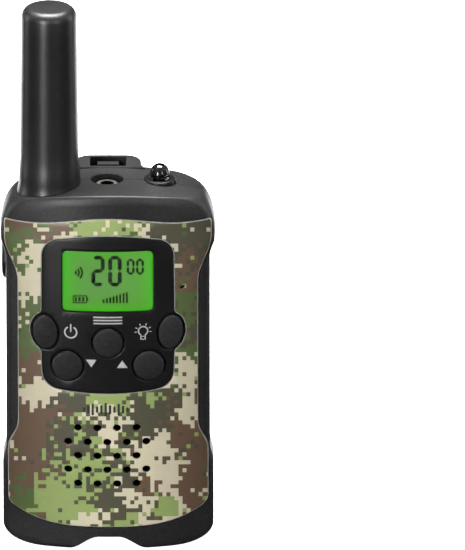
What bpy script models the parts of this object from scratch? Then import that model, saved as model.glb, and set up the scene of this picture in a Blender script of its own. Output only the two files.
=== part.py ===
"""A toy walkie talkie: one handset with its casing, camouflage faceplate, controls, display, aerial,
electronics, battery bay and belt clip. Sizes are in millimetres until mesh_object() turns them into metres.
X runs to the handset's right as seen from the front, Y to its back, Z up from its feet. Y = 0 is the plane
where the front and rear shells meet; the parent empty moves that plane so that the whole object's box is
centred on the origin."""

import math

import bmesh
import bpy
from mathutils import Matrix, Vector

MM = 0.001
WELD = 0.002
GAP = 0.3
PARTING_TO_CENTRE = 1.62

# Casing: half-widths, the front and rear planes and the curvature of each face.
HOOD_HALF_WIDTH = 27.75
WAIST_HALF_WIDTH = 26.4
BASE_HALF_WIDTH = 27.35
HOOD_FROM, HOOD_TO = 79.5, 84.5
BASE_FROM, BASE_TO = 22.0, 27.5
FRONT_Y = -14.5
REAR_Y = 10.0
FRONT_RADIUS = 64.0
REAR_RADIUS = 300.0
FRONT_CORNER = 3.0
REAR_CORNER = 8.0
SIDE_PROFILE_CENTRE_Z = 60.0
SIDE_PROFILE_RADIUS = 900.0
DECK_Z = 98.2
DECK_CROWN = 0.0045
DECK_EDGE_SIDE, DECK_EDGE_FRONT = 9.0, 2.8
FOOT_EDGE_SIDE, FOOT_EDGE_FRONT = 5.5, 2.5
WALL = 2.0
FRONT_WALL = 3.0
ARCH_FLAT, ARCH_FOOT, ARCH_HIGH = 3.5, 9.1, 3.2

# How far the outline draws in at each end: the sides, the front, the rear, and how much its corners grow.
FOOT_ROUND = (8.0, 2.2, 2.0, 5.0)
DECK_ROUND = (4.2, 1.3, 1.0, 7.5)
# Heights of the casing's cross-sections, and of the coarser ones of the room inside it.
RING_HEIGHTS = (10.0, 22.0, 24.0, 25.7, 27.5, 38.0, 49.0, 60.0, 70.0, 79.5, 81.0, 82.4, 83.6)
ROOM_HEIGHTS = (10.0, 22.0, 27.5, 60.0, 79.5, 83.6)

# Skins let into the front of the casing.
SKIN = 1.2
CAMO_NARROW, CAMO_TOP_HALF, CAMO_BOTTOM_HALF = 23.35, 26.85, 26.0
CAMO_TOP_Z, CAMO_TOP_DIP, CAMO_TOP_WAVE = 92.2, 2.1, 22.0
CAMO_BOTTOM_Z, CAMO_BOTTOM_RISE, CAMO_BOTTOM_POWER = 6.3, 5.5, 3.4
DISPLAY_HALF, DISPLAY_LOW, DISPLAY_HIGH, DISPLAY_FRONT_Y = 12.2, 65.4, 84.1, -11.6
WINDOW_HALF, WINDOW_LOW, WINDOW_HIGH = 12.6, 65.0, 84.5
PANEL_HALF, PANEL_LOW, PANEL_HIGH, PANEL_CORNER = 17.25, 44.8, 86.3, 4.8
PANEL_ARCH = (0.8, 1.1)
LENS_HALF, LENS_LOW, LENS_HIGH, LENS_CORNER = 11.7, 66.6, 83.8, 1.0

# Keys: name, X, Z, half-width, half-height, tilt in degrees.
KEYS = (
    ("menu_button", 0.0, 58.2, 3.98, 3.98, 0.0),
    ("down_button", -10.5, 51.65, 4.03, 4.03, 0.0),
    ("up_button", 10.5, 51.65, 4.03, 4.03, 0.0),
    ("power_button", -16.2, 60.55, 3.22, 4.65, 7.0),
    ("lamp_button", 16.2, 60.55, 3.22, 4.65, -7.0),
)
KEY_PROUD = 0.8
KEY_CLEARANCE = 0.3
KEY_STEM_END_Y = -7.45
EAR_MARGIN = 0.45

# Speaker grille: rows of holes from the top down, and the number of holes in each.
GRILLE_ROWS = ((34.4, 4), (30.4, 5), (26.5, 4), (22.6, 5), (18.7, 4))
GRILLE_PITCH = 5.05
GRILLE_X = -0.2
GRILLE_HOLE = (1.0, 0.88)
MIC_X, MIC_Z, MIC_SLOT = 19.3, 72.5, (0.7, 0.4, 30.0)

# Aerial, jack socket and lamp on the deck.
AERIAL_X, AERIAL_Y, AERIAL_TOP_Z = -15.05, -2.2, 146.3
AERIAL_COLLAR_R, AERIAL_COLLAR_TOP_Z = 7.93, 105.8
AERIAL_LOW_R, AERIAL_HIGH_R, AERIAL_EDGE = 7.54, 7.07, 2.5
AERIAL_BORE_R, AERIAL_NECK_R = 4.4, 5.6
AERIAL_SKIRT = ((8.5, 91.0), (8.5, 96.0), (8.3, 97.2), (8.05, 98.6))
JACK_X, JACK_RING_R, JACK_HOLE_R, JACK_SINK_R = -0.2, 2.9, 1.425, 4.15
LAMP_X, LAMP_Y, LAMP_R, LAMP_TOP_Z = 13.4, 0.6, 2.5, 102.1
LAMP_RING_R, LAMP_NECK_R = 4.2, 3.4

# Battery bay, its sliding door and three AAA cells.
CELL_R, CELL_LENGTH, CELL_PITCH = 5.25, 44.5, 11.3
CELL_Y, CELL_LOW_Z = 2.6, 12.9
BAY_HALF, BAY_LOW, BAY_HIGH, BAY_FRONT_Y, BAY_WALL = 17.2, 10.0, 60.4, -2.9, 0.9
DOOR_HALF, DOOR_LOW_Z, DOOR_TOP_Z = 18.0, 0.4, 62.0
DOOR_THICK, DOOR_TONGUE, DOOR_LIP = 1.6, 1.3, 0.6

# Belt clip and the boss that holds it.
BOSS_LOW_Z, BOSS_TOP_Z, BOSS_REAR_Y = 72.0, 97.9, 17.4
BOSS_WIDE, BOSS_NARROW, BOSS_CORNER = 8.8, 8.6, 4.2
TONGUE_HALF, TONGUE_FRONT_Y, TONGUE_REAR_Y, TONGUE_TOP_Z = 5.4, 12.0, 14.0, 93.2
LATCH_HALF, LATCH_TOP_Z = 2.77, 97.5
LATCH_SLOT_HALF, LATCH_SLOT_FRONT_Y, LATCH_SLOT_REAR_Y = 4.7, 8.9, 15.5
CLIP_HALF, CLIP_THICK, CLIP_TIP_Z = 8.0, 2.0, 20.0

# Talk key on the left side, seen along X.
TALK_Y, TALK_Z, TALK_HALF_DEEP, TALK_HALF_HIGH = -1.2, 76.9, 4.4, 5.7
TALK_OUT_X, TALK_IN_X = -27.5, -22.9

# Electronics.
BOARD_FRONT_Y, BOARD_THICK, BOARD_HALF, BOARD_LOW, BOARD_HIGH = -5.2, 1.2, 18.6, 43.0, 86.0
SPEAKER_R, SPEAKER_Z, SPEAKER_FRONT_Y, SPEAKER_OPENING_R = 13.0, 26.5, -9.0, 12.4
SCREW_X, SCREW_LOW_Z, SCREW_HIGH_Z = 22.2, 10.5, 66.0
POST_R, PILOT_R, SHANK_R, HEAD_R = 2.1, 1.2, 1.3, 1.9


def smoothstep(value, low, high):
    t = min(max((value - low) / (high - low), 0.0), 1.0)
    return t * t * (3.0 - 2.0 * t)


def mix(a, b, t):
    return a + (b - a) * t


# ---------------------------------------------------------------- meshes


def mesh_object(name, points, faces):
    """An object whose mesh is given in millimetres, with its faces turned outward."""
    mesh = bpy.data.meshes.new(name)
    mesh.from_pydata([Vector(p) * MM for p in points], [], faces)
    solid = bmesh.new()
    solid.from_mesh(mesh)
    bmesh.ops.recalc_face_normals(solid, faces=solid.faces)
    if solid.calc_volume(signed=True) < 0.0:
        bmesh.ops.reverse_faces(solid, faces=solid.faces)
    solid.to_mesh(mesh)
    solid.free()
    obj = bpy.data.objects.new(name, mesh)
    bpy.context.scene.collection.objects.link(obj)
    return obj


def boolean(target, other, operation):
    """Applies a Boolean to the target's mesh and removes the other object."""
    modifier = target.modifiers.new("boolean", "BOOLEAN")
    modifier.solver = "EXACT"
    modifier.operation = operation
    modifier.object = other
    bpy.context.view_layer.update()
    evaluated = target.evaluated_get(bpy.context.evaluated_depsgraph_get())
    result = bpy.data.meshes.new_from_object(evaluated)
    target.modifiers.remove(modifier)
    target.data = weld(result)
    bpy.data.objects.remove(other)
    return target


def weld(mesh):
    """Merges the points that a Boolean leaves a few thousandths of a millimetre apart."""
    solid = bmesh.new()
    solid.from_mesh(mesh)
    bmesh.ops.remove_doubles(solid, verts=solid.verts, dist=WELD * MM)
    bmesh.ops.dissolve_degenerate(solid, edges=solid.edges, dist=WELD * MM)
    solid.to_mesh(mesh)
    solid.free()
    return mesh


def cut(target, *others):
    for other in others:
        boolean(target, other, "DIFFERENCE")
    return target


def join(target, *others):
    for other in others:
        boolean(target, other, "UNION")
    return target


def keep(target, other):
    return boolean(target, other, "INTERSECT")


def moved(obj, offset):
    obj.data.transform(Matrix.Translation(Vector(offset) * MM))
    return obj


def loft(name, rings, low_tip, high_tip):
    """A closed solid through rings of equal size, closed by a fan at each end."""
    count = len(rings[0])
    points = [p for ring in rings for p in ring] + [low_tip, high_tip]
    faces = []
    for row in range(len(rings) - 1):
        for i in range(count):
            j = (i + 1) % count
            low, high = row * count, (row + 1) * count
            faces.append((low + i, low + j, high + j, high + i))
    last = (len(rings) - 1) * count
    for i in range(count):
        j = (i + 1) % count
        faces.append((len(points) - 2, j, i))
        faces.append((len(points) - 1, last + i, last + j))
    return mesh_object(name, points, faces)


def prism(name, outline, low, high, axis):
    """An outline pushed along an axis: its pairs are (y, z) for X, (x, z) for Y and (x, y) for Z."""
    place = {
        "X": lambda a, b, h: (h, a, b),
        "Y": lambda a, b, h: (a, h, b),
        "Z": lambda a, b, h: (a, b, h),
    }[axis]
    count = len(outline)
    points = [place(a, b, low) for a, b in outline] + [place(a, b, high) for a, b in outline]
    faces = [tuple(range(count)), tuple(range(2 * count - 1, count - 1, -1))]
    faces += [(i, (i + 1) % count, count + (i + 1) % count, count + i) for i in range(count)]
    return mesh_object(name, points, faces)


def prisms(name, outlines, low, high):
    """Several outlines that don't meet, pushed along Y as one cutter."""
    points, faces = [], []
    for outline in outlines:
        start, count = len(points), len(outline)
        points += [(a, low, b) for a, b in outline] + [(a, high, b) for a, b in outline]
        faces.append(tuple(range(start, start + count)))
        faces.append(tuple(range(start + 2 * count - 1, start + count - 1, -1)))
        for i in range(count):
            j = (i + 1) % count
            faces.append((start + i, start + j, start + count + j, start + count + i))
    return mesh_object(name, points, faces)


def box(name, x, y, z):
    return prism(name, ((x[0], y[0]), (x[1], y[0]), (x[1], y[1]), (x[0], y[1])), z[0], z[1], "Z")


def oval(x, z, half_wide, half_high, tilt=0.0, steps=16):
    """An ellipse's outline; a positive tilt in degrees leans its top towards -X."""
    turn = math.radians(tilt)
    outline = []
    for i in range(steps):
        angle = 2.0 * math.pi * (i + 0.5) / steps
        a, b = half_wide * math.cos(angle), half_high * math.sin(angle)
        right = a * math.cos(turn) - b * math.sin(turn)
        up = a * math.sin(turn) + b * math.cos(turn)
        outline.append((x + right, z + up))
    return outline


def rounded_box_outline(half, low, high, corner, steps=4, arch=None):
    """A rectangle centred on X = 0 with round corners. An arch bows its low and high edges outward."""
    outline = []
    corners = ((1, low, 1, 270), (1, high, -1, 0), (-1, high, -1, 90), (-1, low, 1, 180))
    for side, z, inward, start in corners:
        for i in range(steps + 1):
            angle = math.radians(start + 90.0 * i / steps)
            centre_x, centre_z = side * (half - corner), z + inward * corner
            outline.append((centre_x + corner * math.cos(angle), centre_z + corner * math.sin(angle)))
    if arch:
        bow = [(t * (half - corner), 1.0 - t * t) for t in (-0.7, -0.35, 0.0, 0.35, 0.7)]
        outline[2 * (steps + 1):2 * (steps + 1)] = [(-x, high + arch[1] * rise) for x, rise in bow]
        outline += [(x, low - arch[0] * rise) for x, rise in bow]
    return outline


def turned(name, profile, centre, axis="Z", steps=24, closed_loop=False):
    """Turns (radius, height) pairs round an axis through the centre. The ends are closed by a fan, or the
    profile is a closed loop that makes a ring."""
    place = {
        "X": lambda a, b, h: (h, centre[0] + a, centre[1] + b),
        "Y": lambda a, b, h: (centre[0] + a, h, centre[1] + b),
        "Z": lambda a, b, h: (centre[0] + a, centre[1] + b, h),
    }[axis]
    rings = []
    for radius, height in profile:
        angles = [2.0 * math.pi * i / steps for i in range(steps)]
        rings.append([place(radius * math.cos(t), radius * math.sin(t), height) for t in angles])
    if not closed_loop:
        low, high = place(0.0, 0.0, profile[0][1]), place(0.0, 0.0, profile[-1][1])
        return loft(name, rings, low, high)
    points = [p for ring in rings for p in ring]
    faces = []
    for row in range(len(rings)):
        after = (row + 1) % len(rings)
        for i in range(steps):
            j = (i + 1) % steps
            faces.append((row * steps + i, row * steps + j, after * steps + j, after * steps + i))
    return mesh_object(name, points, faces)


def tube_along(name, route, radius, sides=6):
    """A round wire along a list of points."""
    rings = []
    side = Vector((1.0, 0.0, 0.0))
    for i, point in enumerate(route):
        ahead = (route[min(i + 1, len(route) - 1)] - route[max(i - 1, 0)]).normalized()
        side = (side - ahead * side.dot(ahead)).normalized()
        other = ahead.cross(side)
        angles = [2.0 * math.pi * k / sides for k in range(sides)]
        rings.append([point + radius * (side * math.cos(t) + other * math.sin(t)) for t in angles])
    return loft(name, rings, route[0], route[-1])


# ---------------------------------------------------------------- casing shape


def half_width(z):
    upper = (HOOD_HALF_WIDTH - WAIST_HALF_WIDTH) * smoothstep(z, HOOD_FROM, HOOD_TO)
    lower = (BASE_HALF_WIDTH - WAIST_HALF_WIDTH) * smoothstep(-z, -BASE_TO, -BASE_FROM)
    return WAIST_HALF_WIDTH + upper + lower


def front_centre_y(z):
    return FRONT_Y + (z - SIDE_PROFILE_CENTRE_Z) ** 2 / (2.0 * SIDE_PROFILE_RADIUS)


def front_y(x, z):
    """The casing's front surface, away from its corners."""
    return front_centre_y(z) + FRONT_RADIUS - math.sqrt(FRONT_RADIUS ** 2 - x ** 2)


def arc(centre_x, centre_y, radius, start, end, steps):
    """Points on an arc, angles in radians, both ends included."""
    turn = [mix(start, end, i / steps) for i in range(steps + 1)]
    return [(centre_x + radius * math.cos(t), centre_y + radius * math.sin(t)) for t in turn]


def plan(wide, front, rear, front_corner, rear_corner, front_radius, rear_radius):
    """The casing's outline at one height: an arc in front, a flatter one behind, four rounded corners."""
    front_centre = front + front_radius
    rear_centre = rear - rear_radius
    corner_y = front_centre - math.sqrt((front_radius - front_corner) ** 2 - (wide - front_corner) ** 2)
    corner_rear_y = rear_centre + math.sqrt((rear_radius - rear_corner) ** 2 - (wide - rear_corner) ** 2)
    front_end = math.atan2(corner_y - front_centre, wide - front_corner)
    rear_end = math.atan2(corner_rear_y - rear_centre, wide - rear_corner)
    half = arc(0.0, front_centre, front_radius, -math.pi / 2.0, front_end, 6)[:-1]
    half += arc(wide - front_corner, corner_y, front_corner, front_end, 0.0, 4)
    half += arc(wide - rear_corner, corner_rear_y, rear_corner, 0.0, rear_end, 4)
    half += arc(0.0, rear_centre, rear_radius, rear_end, math.pi / 2.0, 3)[1:]
    return half + [(-x, y) for x, y in half[-2:0:-1]]


def casing(name, side_in=0.0, front_in=0.0, rear_in=0.0, end_in=0.0, heights=RING_HEIGHTS, edge_steps=4):
    """The whole casing as one solid, or a smaller one inside it with the given wall thicknesses."""

    def outline(z, narrower, front_back, rear_forward, corner_grow):
        return plan(
            half_width(z) - side_in - narrower,
            front_centre_y(z) + front_in + front_back,
            REAR_Y - rear_in - rear_forward,
            FRONT_CORNER + max(0.0, corner_grow - 1.2 * front_in),
            REAR_CORNER - rear_in,
            FRONT_RADIUS - front_in,
            REAR_RADIUS - rear_in,
        )

    def drop(x, front, side):
        return mix(front, side, smoothstep(abs(x) / HOOD_HALF_WIDTH, 0.5, 1.0))

    def deck(x):
        return DECK_Z - end_in - DECK_CROWN * x * x

    rings = []
    for step in range(edge_steps + 1):
        angle = 0.5 * math.pi * (1.0 - step / edge_steps)
        inward = 1.0 - math.cos(angle)
        flat = outline(4.0, *[inward * amount for amount in FOOT_ROUND])
        rise = 1.0 - math.sin(angle)
        rings.append([(x, y, end_in + rise * drop(x, FOOT_EDGE_FRONT, FOOT_EDGE_SIDE)) for x, y in flat])
    rings.insert(0, [(0.5 * x, 0.5 * y, z) for x, y, z in rings[0]])
    for z in heights:
        rings.append([(x, y, z) for x, y in outline(z, 0.0, 0.0, 0.0, 0.0)])
    for step in range(edge_steps + 1):
        angle = 0.5 * math.pi * step / edge_steps
        inward = 1.0 - math.cos(angle)
        flat = outline(94.0, *[inward * amount for amount in DECK_ROUND])
        fall = 1.0 - math.sin(angle)
        rings.append([(x, y, deck(x) - fall * drop(x, DECK_EDGE_FRONT, DECK_EDGE_SIDE)) for x, y in flat])
    rim = rings[-1]
    for scale in (0.7, 0.4):
        rings.append([(scale * x, scale * y, deck(scale * x)) for x, y, z in rim])
    return loft(name, rings, (0.0, 0.0, end_in), (0.0, 0.0, deck(0.0)))


def camo_half(z):
    """The faceplate's half-width: wide under the hood, narrow along the grips, wide again at the chin."""
    upper = (CAMO_TOP_HALF - CAMO_NARROW) * smoothstep(z, 74.0, 85.5)
    lower = (CAMO_BOTTOM_HALF - CAMO_NARROW) * smoothstep(-z, -34.6, -27.0)
    return CAMO_NARROW + upper + lower


def camo_top(x):
    return CAMO_TOP_Z - CAMO_TOP_DIP * 0.5 * (1.0 - math.cos(math.pi * x / CAMO_TOP_WAVE))


def camo_bottom(x):
    return CAMO_BOTTOM_Z + CAMO_BOTTOM_RISE * (abs(x) / CAMO_BOTTOM_HALF) ** CAMO_BOTTOM_POWER


def camo_outline(grow=0.0):
    """The faceplate's outline as (x, z), grown outward all round for its recess."""
    right = []
    for z in (12.5, 18.0, 26.0, 28.5, 30.5, 32.5, 35.5, 73.0, 76.5, 78.5, 80.5, 82.5, 85.0, 88.0):
        right.append((camo_half(z) + grow, z))
    tops = [CAMO_TOP_HALF * t for t in (1.0, 0.85, 0.7, 0.5, 0.3, 0.0)]
    right += [(x + (grow if x else 0.0), camo_top(x) + grow) for x in tops]
    bottoms = [CAMO_BOTTOM_HALF * t for t in (0.0, 0.3, 0.5, 0.65, 0.8, 0.9, 0.97)]
    start = [(x, camo_bottom(x) - grow) for x in bottoms]
    half = start + right
    return half + [(-x, z) for x, z in half[-2:0:-1]]


def skin(name, outline, thickness, recess=False):
    """A skin of the casing's front surface inside an outline; a recess reaches out past the surface."""
    under = moved(casing("under"), (0.0, thickness, 0.0))
    block = prism(name, outline, -30.0, 2.0, "Y")
    if not recess:
        keep(block, casing("outer"))
    return cut(block, under)


def key_outlines(margin):
    return [oval(x, z, wide + margin, high + margin, tilt) for _, x, z, wide, high, tilt in KEYS]


def ears(margin):
    """The two ovals round the power and lamp keys, which widen the control panel there."""
    return [prism("ear", outline, -29.0, 1.0, "Y") for outline in key_outlines(margin)[3:]]


def panel_block(name, grow):
    low, high = PANEL_LOW - grow, PANEL_HIGH + grow
    outline = rounded_box_outline(PANEL_HALF + grow, low, high, PANEL_CORNER + grow, arch=PANEL_ARCH)
    block = prism(name, outline, -30.0, 2.0, "Y")
    return join(block, *ears(EAR_MARGIN + KEY_CLEARANCE + grow))


def grille_outlines():
    outlines = []
    for z, count in GRILLE_ROWS:
        for i in range(count):
            x = GRILLE_X + (i - 0.5 * (count - 1)) * GRILLE_PITCH
            outlines.append(oval(x, z, *GRILLE_HOLE, steps=8))
    return outlines


def mic_outline():
    return oval(MIC_X, MIC_Z, *MIC_SLOT, steps=8)


# ---------------------------------------------------------------- casing parts


def half_space(name, low_y, high_y):
    return box(name, (-60.0, 60.0), (low_y, high_y), (-40.0, 180.0))


def deck_cutters():
    """Holes through the deck for the aerial's neck, the jack socket with its countersink, and the lamp."""
    neck, ring, stem = AERIAL_NECK_R + GAP, JACK_RING_R + GAP, LAMP_NECK_R + GAP
    sink = [(ring, 90.0), (ring, DECK_Z - 1.6), (JACK_SINK_R, DECK_Z - 0.5), (JACK_SINK_R, DECK_Z + 0.4)]
    return (
        turned("neck_hole", [(neck, 85.0), (neck, 101.0)], (AERIAL_X, AERIAL_Y)),
        turned("jack_hole", sink, (JACK_X, 0.0)),
        turned("lamp_hole", [(stem, 85.0), (stem, 101.0)], (LAMP_X, LAMP_Y)),
    )


def talk_outline(deeper, higher):
    """The talk key's pointed oval seen along X, as (y, z), grown by the two amounts."""
    outline = []
    for i in range(12):
        angle = 2.0 * math.pi * (i + 0.5) / 12
        deep = (TALK_HALF_DEEP + deeper) * math.copysign(abs(math.cos(angle)) ** 1.3, math.cos(angle))
        outline.append((TALK_Y + deep, TALK_Z + (TALK_HALF_HIGH + higher) * math.sin(angle)))
    return outline


def foot_arch(grow=0.0):
    """The arch between the two feet, cut right through from front to back."""
    flat, foot = ARCH_FLAT + grow, ARCH_FOOT + grow
    steps = (0.0, 0.25, 0.5, 0.75, 1.0)
    rise = [(mix(flat, foot, t), grow + ARCH_HIGH * (1.0 - smoothstep(t, 0.0, 1.0))) for t in steps]
    outline = [(-x, z) for x, z in rise[::-1]] + rise + [(foot, -2.0), (-foot, -2.0)]
    return prism("arch", outline, -40.0, 40.0, "Y")


def hollow():
    """The room inside the casing, which keeps a wall above the arch between the feet."""
    room = casing("room", WALL, FRONT_WALL, WALL, WALL + 0.2, ROOM_HEIGHTS, 2)
    return cut(room, foot_arch(WALL))


def front_shell():
    shell = casing("front_shell")
    cut(shell, hollow())
    cut(shell, skin("recess", camo_outline(GAP), SKIN + GAP, recess=True))
    window = rounded_box_outline(WINDOW_HALF, WINDOW_LOW, WINDOW_HIGH, 0.3, 1)
    cut(shell, prisms("openings", [window, mic_outline()] + key_outlines(KEY_CLEARANCE), -30.0, 0.0))
    opening = [(SPEAKER_OPENING_R, -30.0), (SPEAKER_OPENING_R, 0.0)]
    cut(shell, turned("speaker_opening", opening, (GRILLE_X, SPEAKER_Z), "Y", 24))
    cut(shell, *deck_cutters())
    cut(shell, prism("talk_hole", talk_outline(GAP, GAP), -40.0, -15.0, "X"))
    for side in (-1, 1):
        for z in (SCREW_LOW_Z, SCREW_HIGH_Z):
            root = front_y(SCREW_X, z) + FRONT_WALL - 0.8
            join(shell, turned("post", [(POST_R, root), (POST_R, -0.15)], (side * SCREW_X, z), "Y", 12))
            cut(shell, turned("pilot", [(PILOT_R, -5.2), (PILOT_R, 2.0)], (side * SCREW_X, z), "Y", 8))
    cut(shell, foot_arch())
    return cut(shell, half_space("behind", -0.15, 60.0))


def boss_outline():
    """The belt clip's boss seen from above, as (x, y)."""
    corner = arc(BOSS_NARROW - BOSS_CORNER, BOSS_REAR_Y - BOSS_CORNER, BOSS_CORNER, 0.2, math.pi / 2.0, 6)
    half = [(BOSS_WIDE + 0.8, 7.6), (BOSS_WIDE, 9.8)] + corner
    return half + [(-x, y) for x, y in half[::-1]]


def door_blocks(name, grow):
    """The battery door's two layers: the visible slab, and the wider tongue behind the casing's lip."""
    top = DOOR_TOP_Z + grow
    face = box(name, (-DOOR_HALF - grow, DOOR_HALF + grow), (-20.0, 30.0), (-5.0, top))
    wide = DOOR_HALF + DOOR_TONGUE + grow
    tongue_low = -5.0 if grow else 6.0
    tongue = box("tongue", (-wide, wide), (-20.0, 30.0), (tongue_low, top + DOOR_TONGUE))
    return face, tongue


def rear_skin(block, outer, inner):
    """The part of a block that lies between two depths under the casing's rear surface."""
    keep(block, moved(casing("outer"), (0.0, -outer, 0.0)))
    cut(block, moved(casing("under"), (0.0, -inner, 0.0)))
    return cut(block, half_space("before", -60.0, 2.0))


def tongue_exits():
    """The two slots at the casing's lower end that let the door's side tongues slide out."""
    inner, outer = DOOR_HALF - 0.1, DOOR_HALF + DOOR_TONGUE + GAP
    right = box("exit", (inner, outer), (7.5, 8.9), (-5.0, 7.0))
    left = box("exit", (-outer, -inner), (7.5, 8.9), (-5.0, 7.0))
    return right, left


def rear_shell():
    shell = casing("rear_shell")
    join(shell, prism("boss", boss_outline(), BOSS_LOW_Z, BOSS_TOP_Z, "Z"))
    cut(shell, hollow())
    cut(shell, foot_arch())
    cut(shell, half_space("before", -60.0, 0.15))
    wide, tall = BAY_HALF + BAY_WALL, (BAY_LOW - BAY_WALL, BAY_HIGH + BAY_WALL)
    join(shell, box("tub", (-wide, wide), (BAY_FRONT_Y - BAY_WALL, 8.6), tall))
    face, tongue = door_blocks("door_room", GAP)
    for block, depth in ((face, DOOR_THICK + GAP), (tongue, DOOR_THICK + GAP + 0.05)):
        cut(block, moved(casing("under"), (0.0, -depth, 0.0)), half_space("before", -60.0, 2.0))
    keep(tongue, moved(casing("lip"), (0.0, -DOOR_LIP, 0.0)))
    cut(shell, face, tongue, *tongue_exits())
    cut(shell, box("bay", (-BAY_HALF, BAY_HALF), (BAY_FRONT_Y, 12.0), (BAY_LOW, BAY_HIGH)))
    cut(shell, *deck_cutters())
    cut(shell, prism("talk_hole", talk_outline(GAP, GAP), -40.0, -15.0, "X"))
    wide, deep = TONGUE_HALF + GAP, (TONGUE_FRONT_Y - GAP, TONGUE_REAR_Y + GAP)
    cut(shell, box("channel", (-wide, wide), deep, (60.0, TONGUE_TOP_Z + 0.8)))
    wide, deep = LATCH_SLOT_HALF, (LATCH_SLOT_FRONT_Y, LATCH_SLOT_REAR_Y)
    cut(shell, box("latch_slot", (-wide, wide), deep, (TONGUE_TOP_Z - 0.2, 110.0)))
    for side in (-1, 1):
        for z in (SCREW_LOW_Z, SCREW_HIGH_Z):
            join(shell, turned("post", [(POST_R, 0.15), (POST_R, 7.0)], (side * SCREW_X, z), "Y", 12))
            bore = [(SHANK_R, -2.0), (SHANK_R, 3.6), (HEAD_R, 3.6), (HEAD_R, 20.0)]
            cut(shell, turned("bore", bore, (side * SCREW_X, z), "Y", 10))
    return shell


def camo_faceplate():
    plate = skin("camo_faceplate", camo_outline(), SKIN)
    cut(plate, panel_block("window", GAP))
    return cut(plate, prisms("holes", grille_outlines() + [mic_outline()], -30.0, 2.0))


def control_panel():
    panel = keep(panel_block("control_panel", 0.0), casing("outer"))
    cut(panel, moved(casing("under"), (0.0, SKIN, 0.0)))
    low, high = LENS_LOW - GAP, LENS_HIGH + GAP
    lens_hole = rounded_box_outline(LENS_HALF + GAP, low, high, LENS_CORNER + GAP, 2)
    return cut(panel, prisms("openings", [lens_hole] + key_outlines(KEY_CLEARANCE), -30.0, 2.0))


def display_lens():
    outline = rounded_box_outline(LENS_HALF, LENS_LOW, LENS_HIGH, LENS_CORNER, 2)
    return skin("display_lens", outline, SKIN)


# ---------------------------------------------------------------- keys


def key(name, x, z, wide, high, tilt):
    """A rubber key: domed cap, a flange behind the casing's front wall, and a stem to its dome."""
    front = front_y(x, z)
    inner_wall = front_y(abs(x) + wide, z) + FRONT_WALL
    flange = (inner_wall + 0.5, inner_wall + 1.0)
    stations = (
        (0.55, front - KEY_PROUD),
        (0.86, front - KEY_PROUD + 0.15),
        (1.0, front - KEY_PROUD + 0.7),
        (1.0, flange[0]),
        (1.16, flange[0]),
        (1.16, flange[1]),
        (0.5, flange[1]),
        (0.5, max(KEY_STEM_END_Y, flange[1] + 0.05)),
    )
    rings = []
    for scale, y in stations:
        rings.append([(a, y, b) for a, b in oval(x, z, wide * scale, high * scale, tilt)])
    return loft(name, rings, (x, stations[0][1], z), (x, stations[-1][1], z))


def talk_button():
    """The talk key on the left side: a pointed oval cap with a flange behind the side wall."""
    crown = []
    out_x = TALK_OUT_X
    for shrink, x in ((0.0, TALK_IN_X), (0.0, out_x + 0.9), (0.45, out_x + 0.25), (1.4, out_x)):
        crown.append([(x, y, z) for y, z in talk_outline(-shrink, -shrink)])
    cap = loft("ptt_button", crown, (TALK_IN_X, TALK_Y, TALK_Z), (TALK_OUT_X, TALK_Y, TALK_Z))
    return join(cap, prism("flange", talk_outline(0.35, 1.1), -23.6, TALK_IN_X + 0.01, "X"))


# ---------------------------------------------------------------- aerial, jack and lamp


def aerial_cover():
    profile = list(AERIAL_SKIRT) + [(AERIAL_COLLAR_R, 100.4)]
    profile += [(AERIAL_COLLAR_R, AERIAL_COLLAR_TOP_Z), (AERIAL_LOW_R, AERIAL_COLLAR_TOP_Z + 0.5)]
    edge_z = AERIAL_TOP_Z - AERIAL_EDGE
    profile += arc(AERIAL_HIGH_R - AERIAL_EDGE, edge_z, AERIAL_EDGE, 0.0, 0.5 * math.pi, 4)
    centre = (AERIAL_X, AERIAL_Y)
    cover = turned("antenna_cover", profile, centre, steps=28)
    cut(cover, moved(casing("deck"), (0.0, 0.0, GAP)))
    join(cover, turned("neck", [(AERIAL_NECK_R, 92.0), (AERIAL_NECK_R, 103.0)], centre))
    return cut(cover, turned("bore", [(AERIAL_BORE_R, 80.0), (AERIAL_BORE_R, 142.5)], centre))


def aerial_coil():
    """The helical aerial: a wire wound round a plastic core."""
    turns, per_turn, low, high, radius = 8, 8, 91.0, 136.0, 3.5
    centre = Vector((AERIAL_X, AERIAL_Y, 0.0))
    route = [centre + Vector((radius, 0.0, 88.0)), centre + Vector((radius, 0.0, 89.5))]
    for i in range(turns * per_turn + 1):
        angle = 2.0 * math.pi * i / per_turn
        height = mix(low, high, i / (turns * per_turn))
        route.append(centre + Vector((radius * math.cos(angle), radius * math.sin(angle), height)))
    return tube_along("antenna_coil", route, 0.45, 4)


def aerial_core():
    return turned("antenna_core", [(2.6, 87.0), (2.6, 139.0)], (AERIAL_X, AERIAL_Y), steps=12)


def jack_bushing():
    top = DECK_Z - 1.3
    outer, inner = JACK_RING_R, JACK_HOLE_R
    outside = [(outer, 93.8), (outer, top - 0.2), (outer - 0.2, top)]
    profile = outside + [(inner + 0.2, top), (inner, top - 0.2), (inner, 93.8)]
    return turned("jack_bushing", profile, (JACK_X, 0.0), steps=20, closed_loop=True)


def jack_socket():
    body = box("jack_socket", (JACK_X - 3.5, JACK_X + 3.5), (-3.2, 3.2), (83.5, 93.5))
    return cut(body, turned("bore", [(JACK_HOLE_R, 84.8), (JACK_HOLE_R, 96.0)], (JACK_X, 0.0), steps=12))


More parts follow.
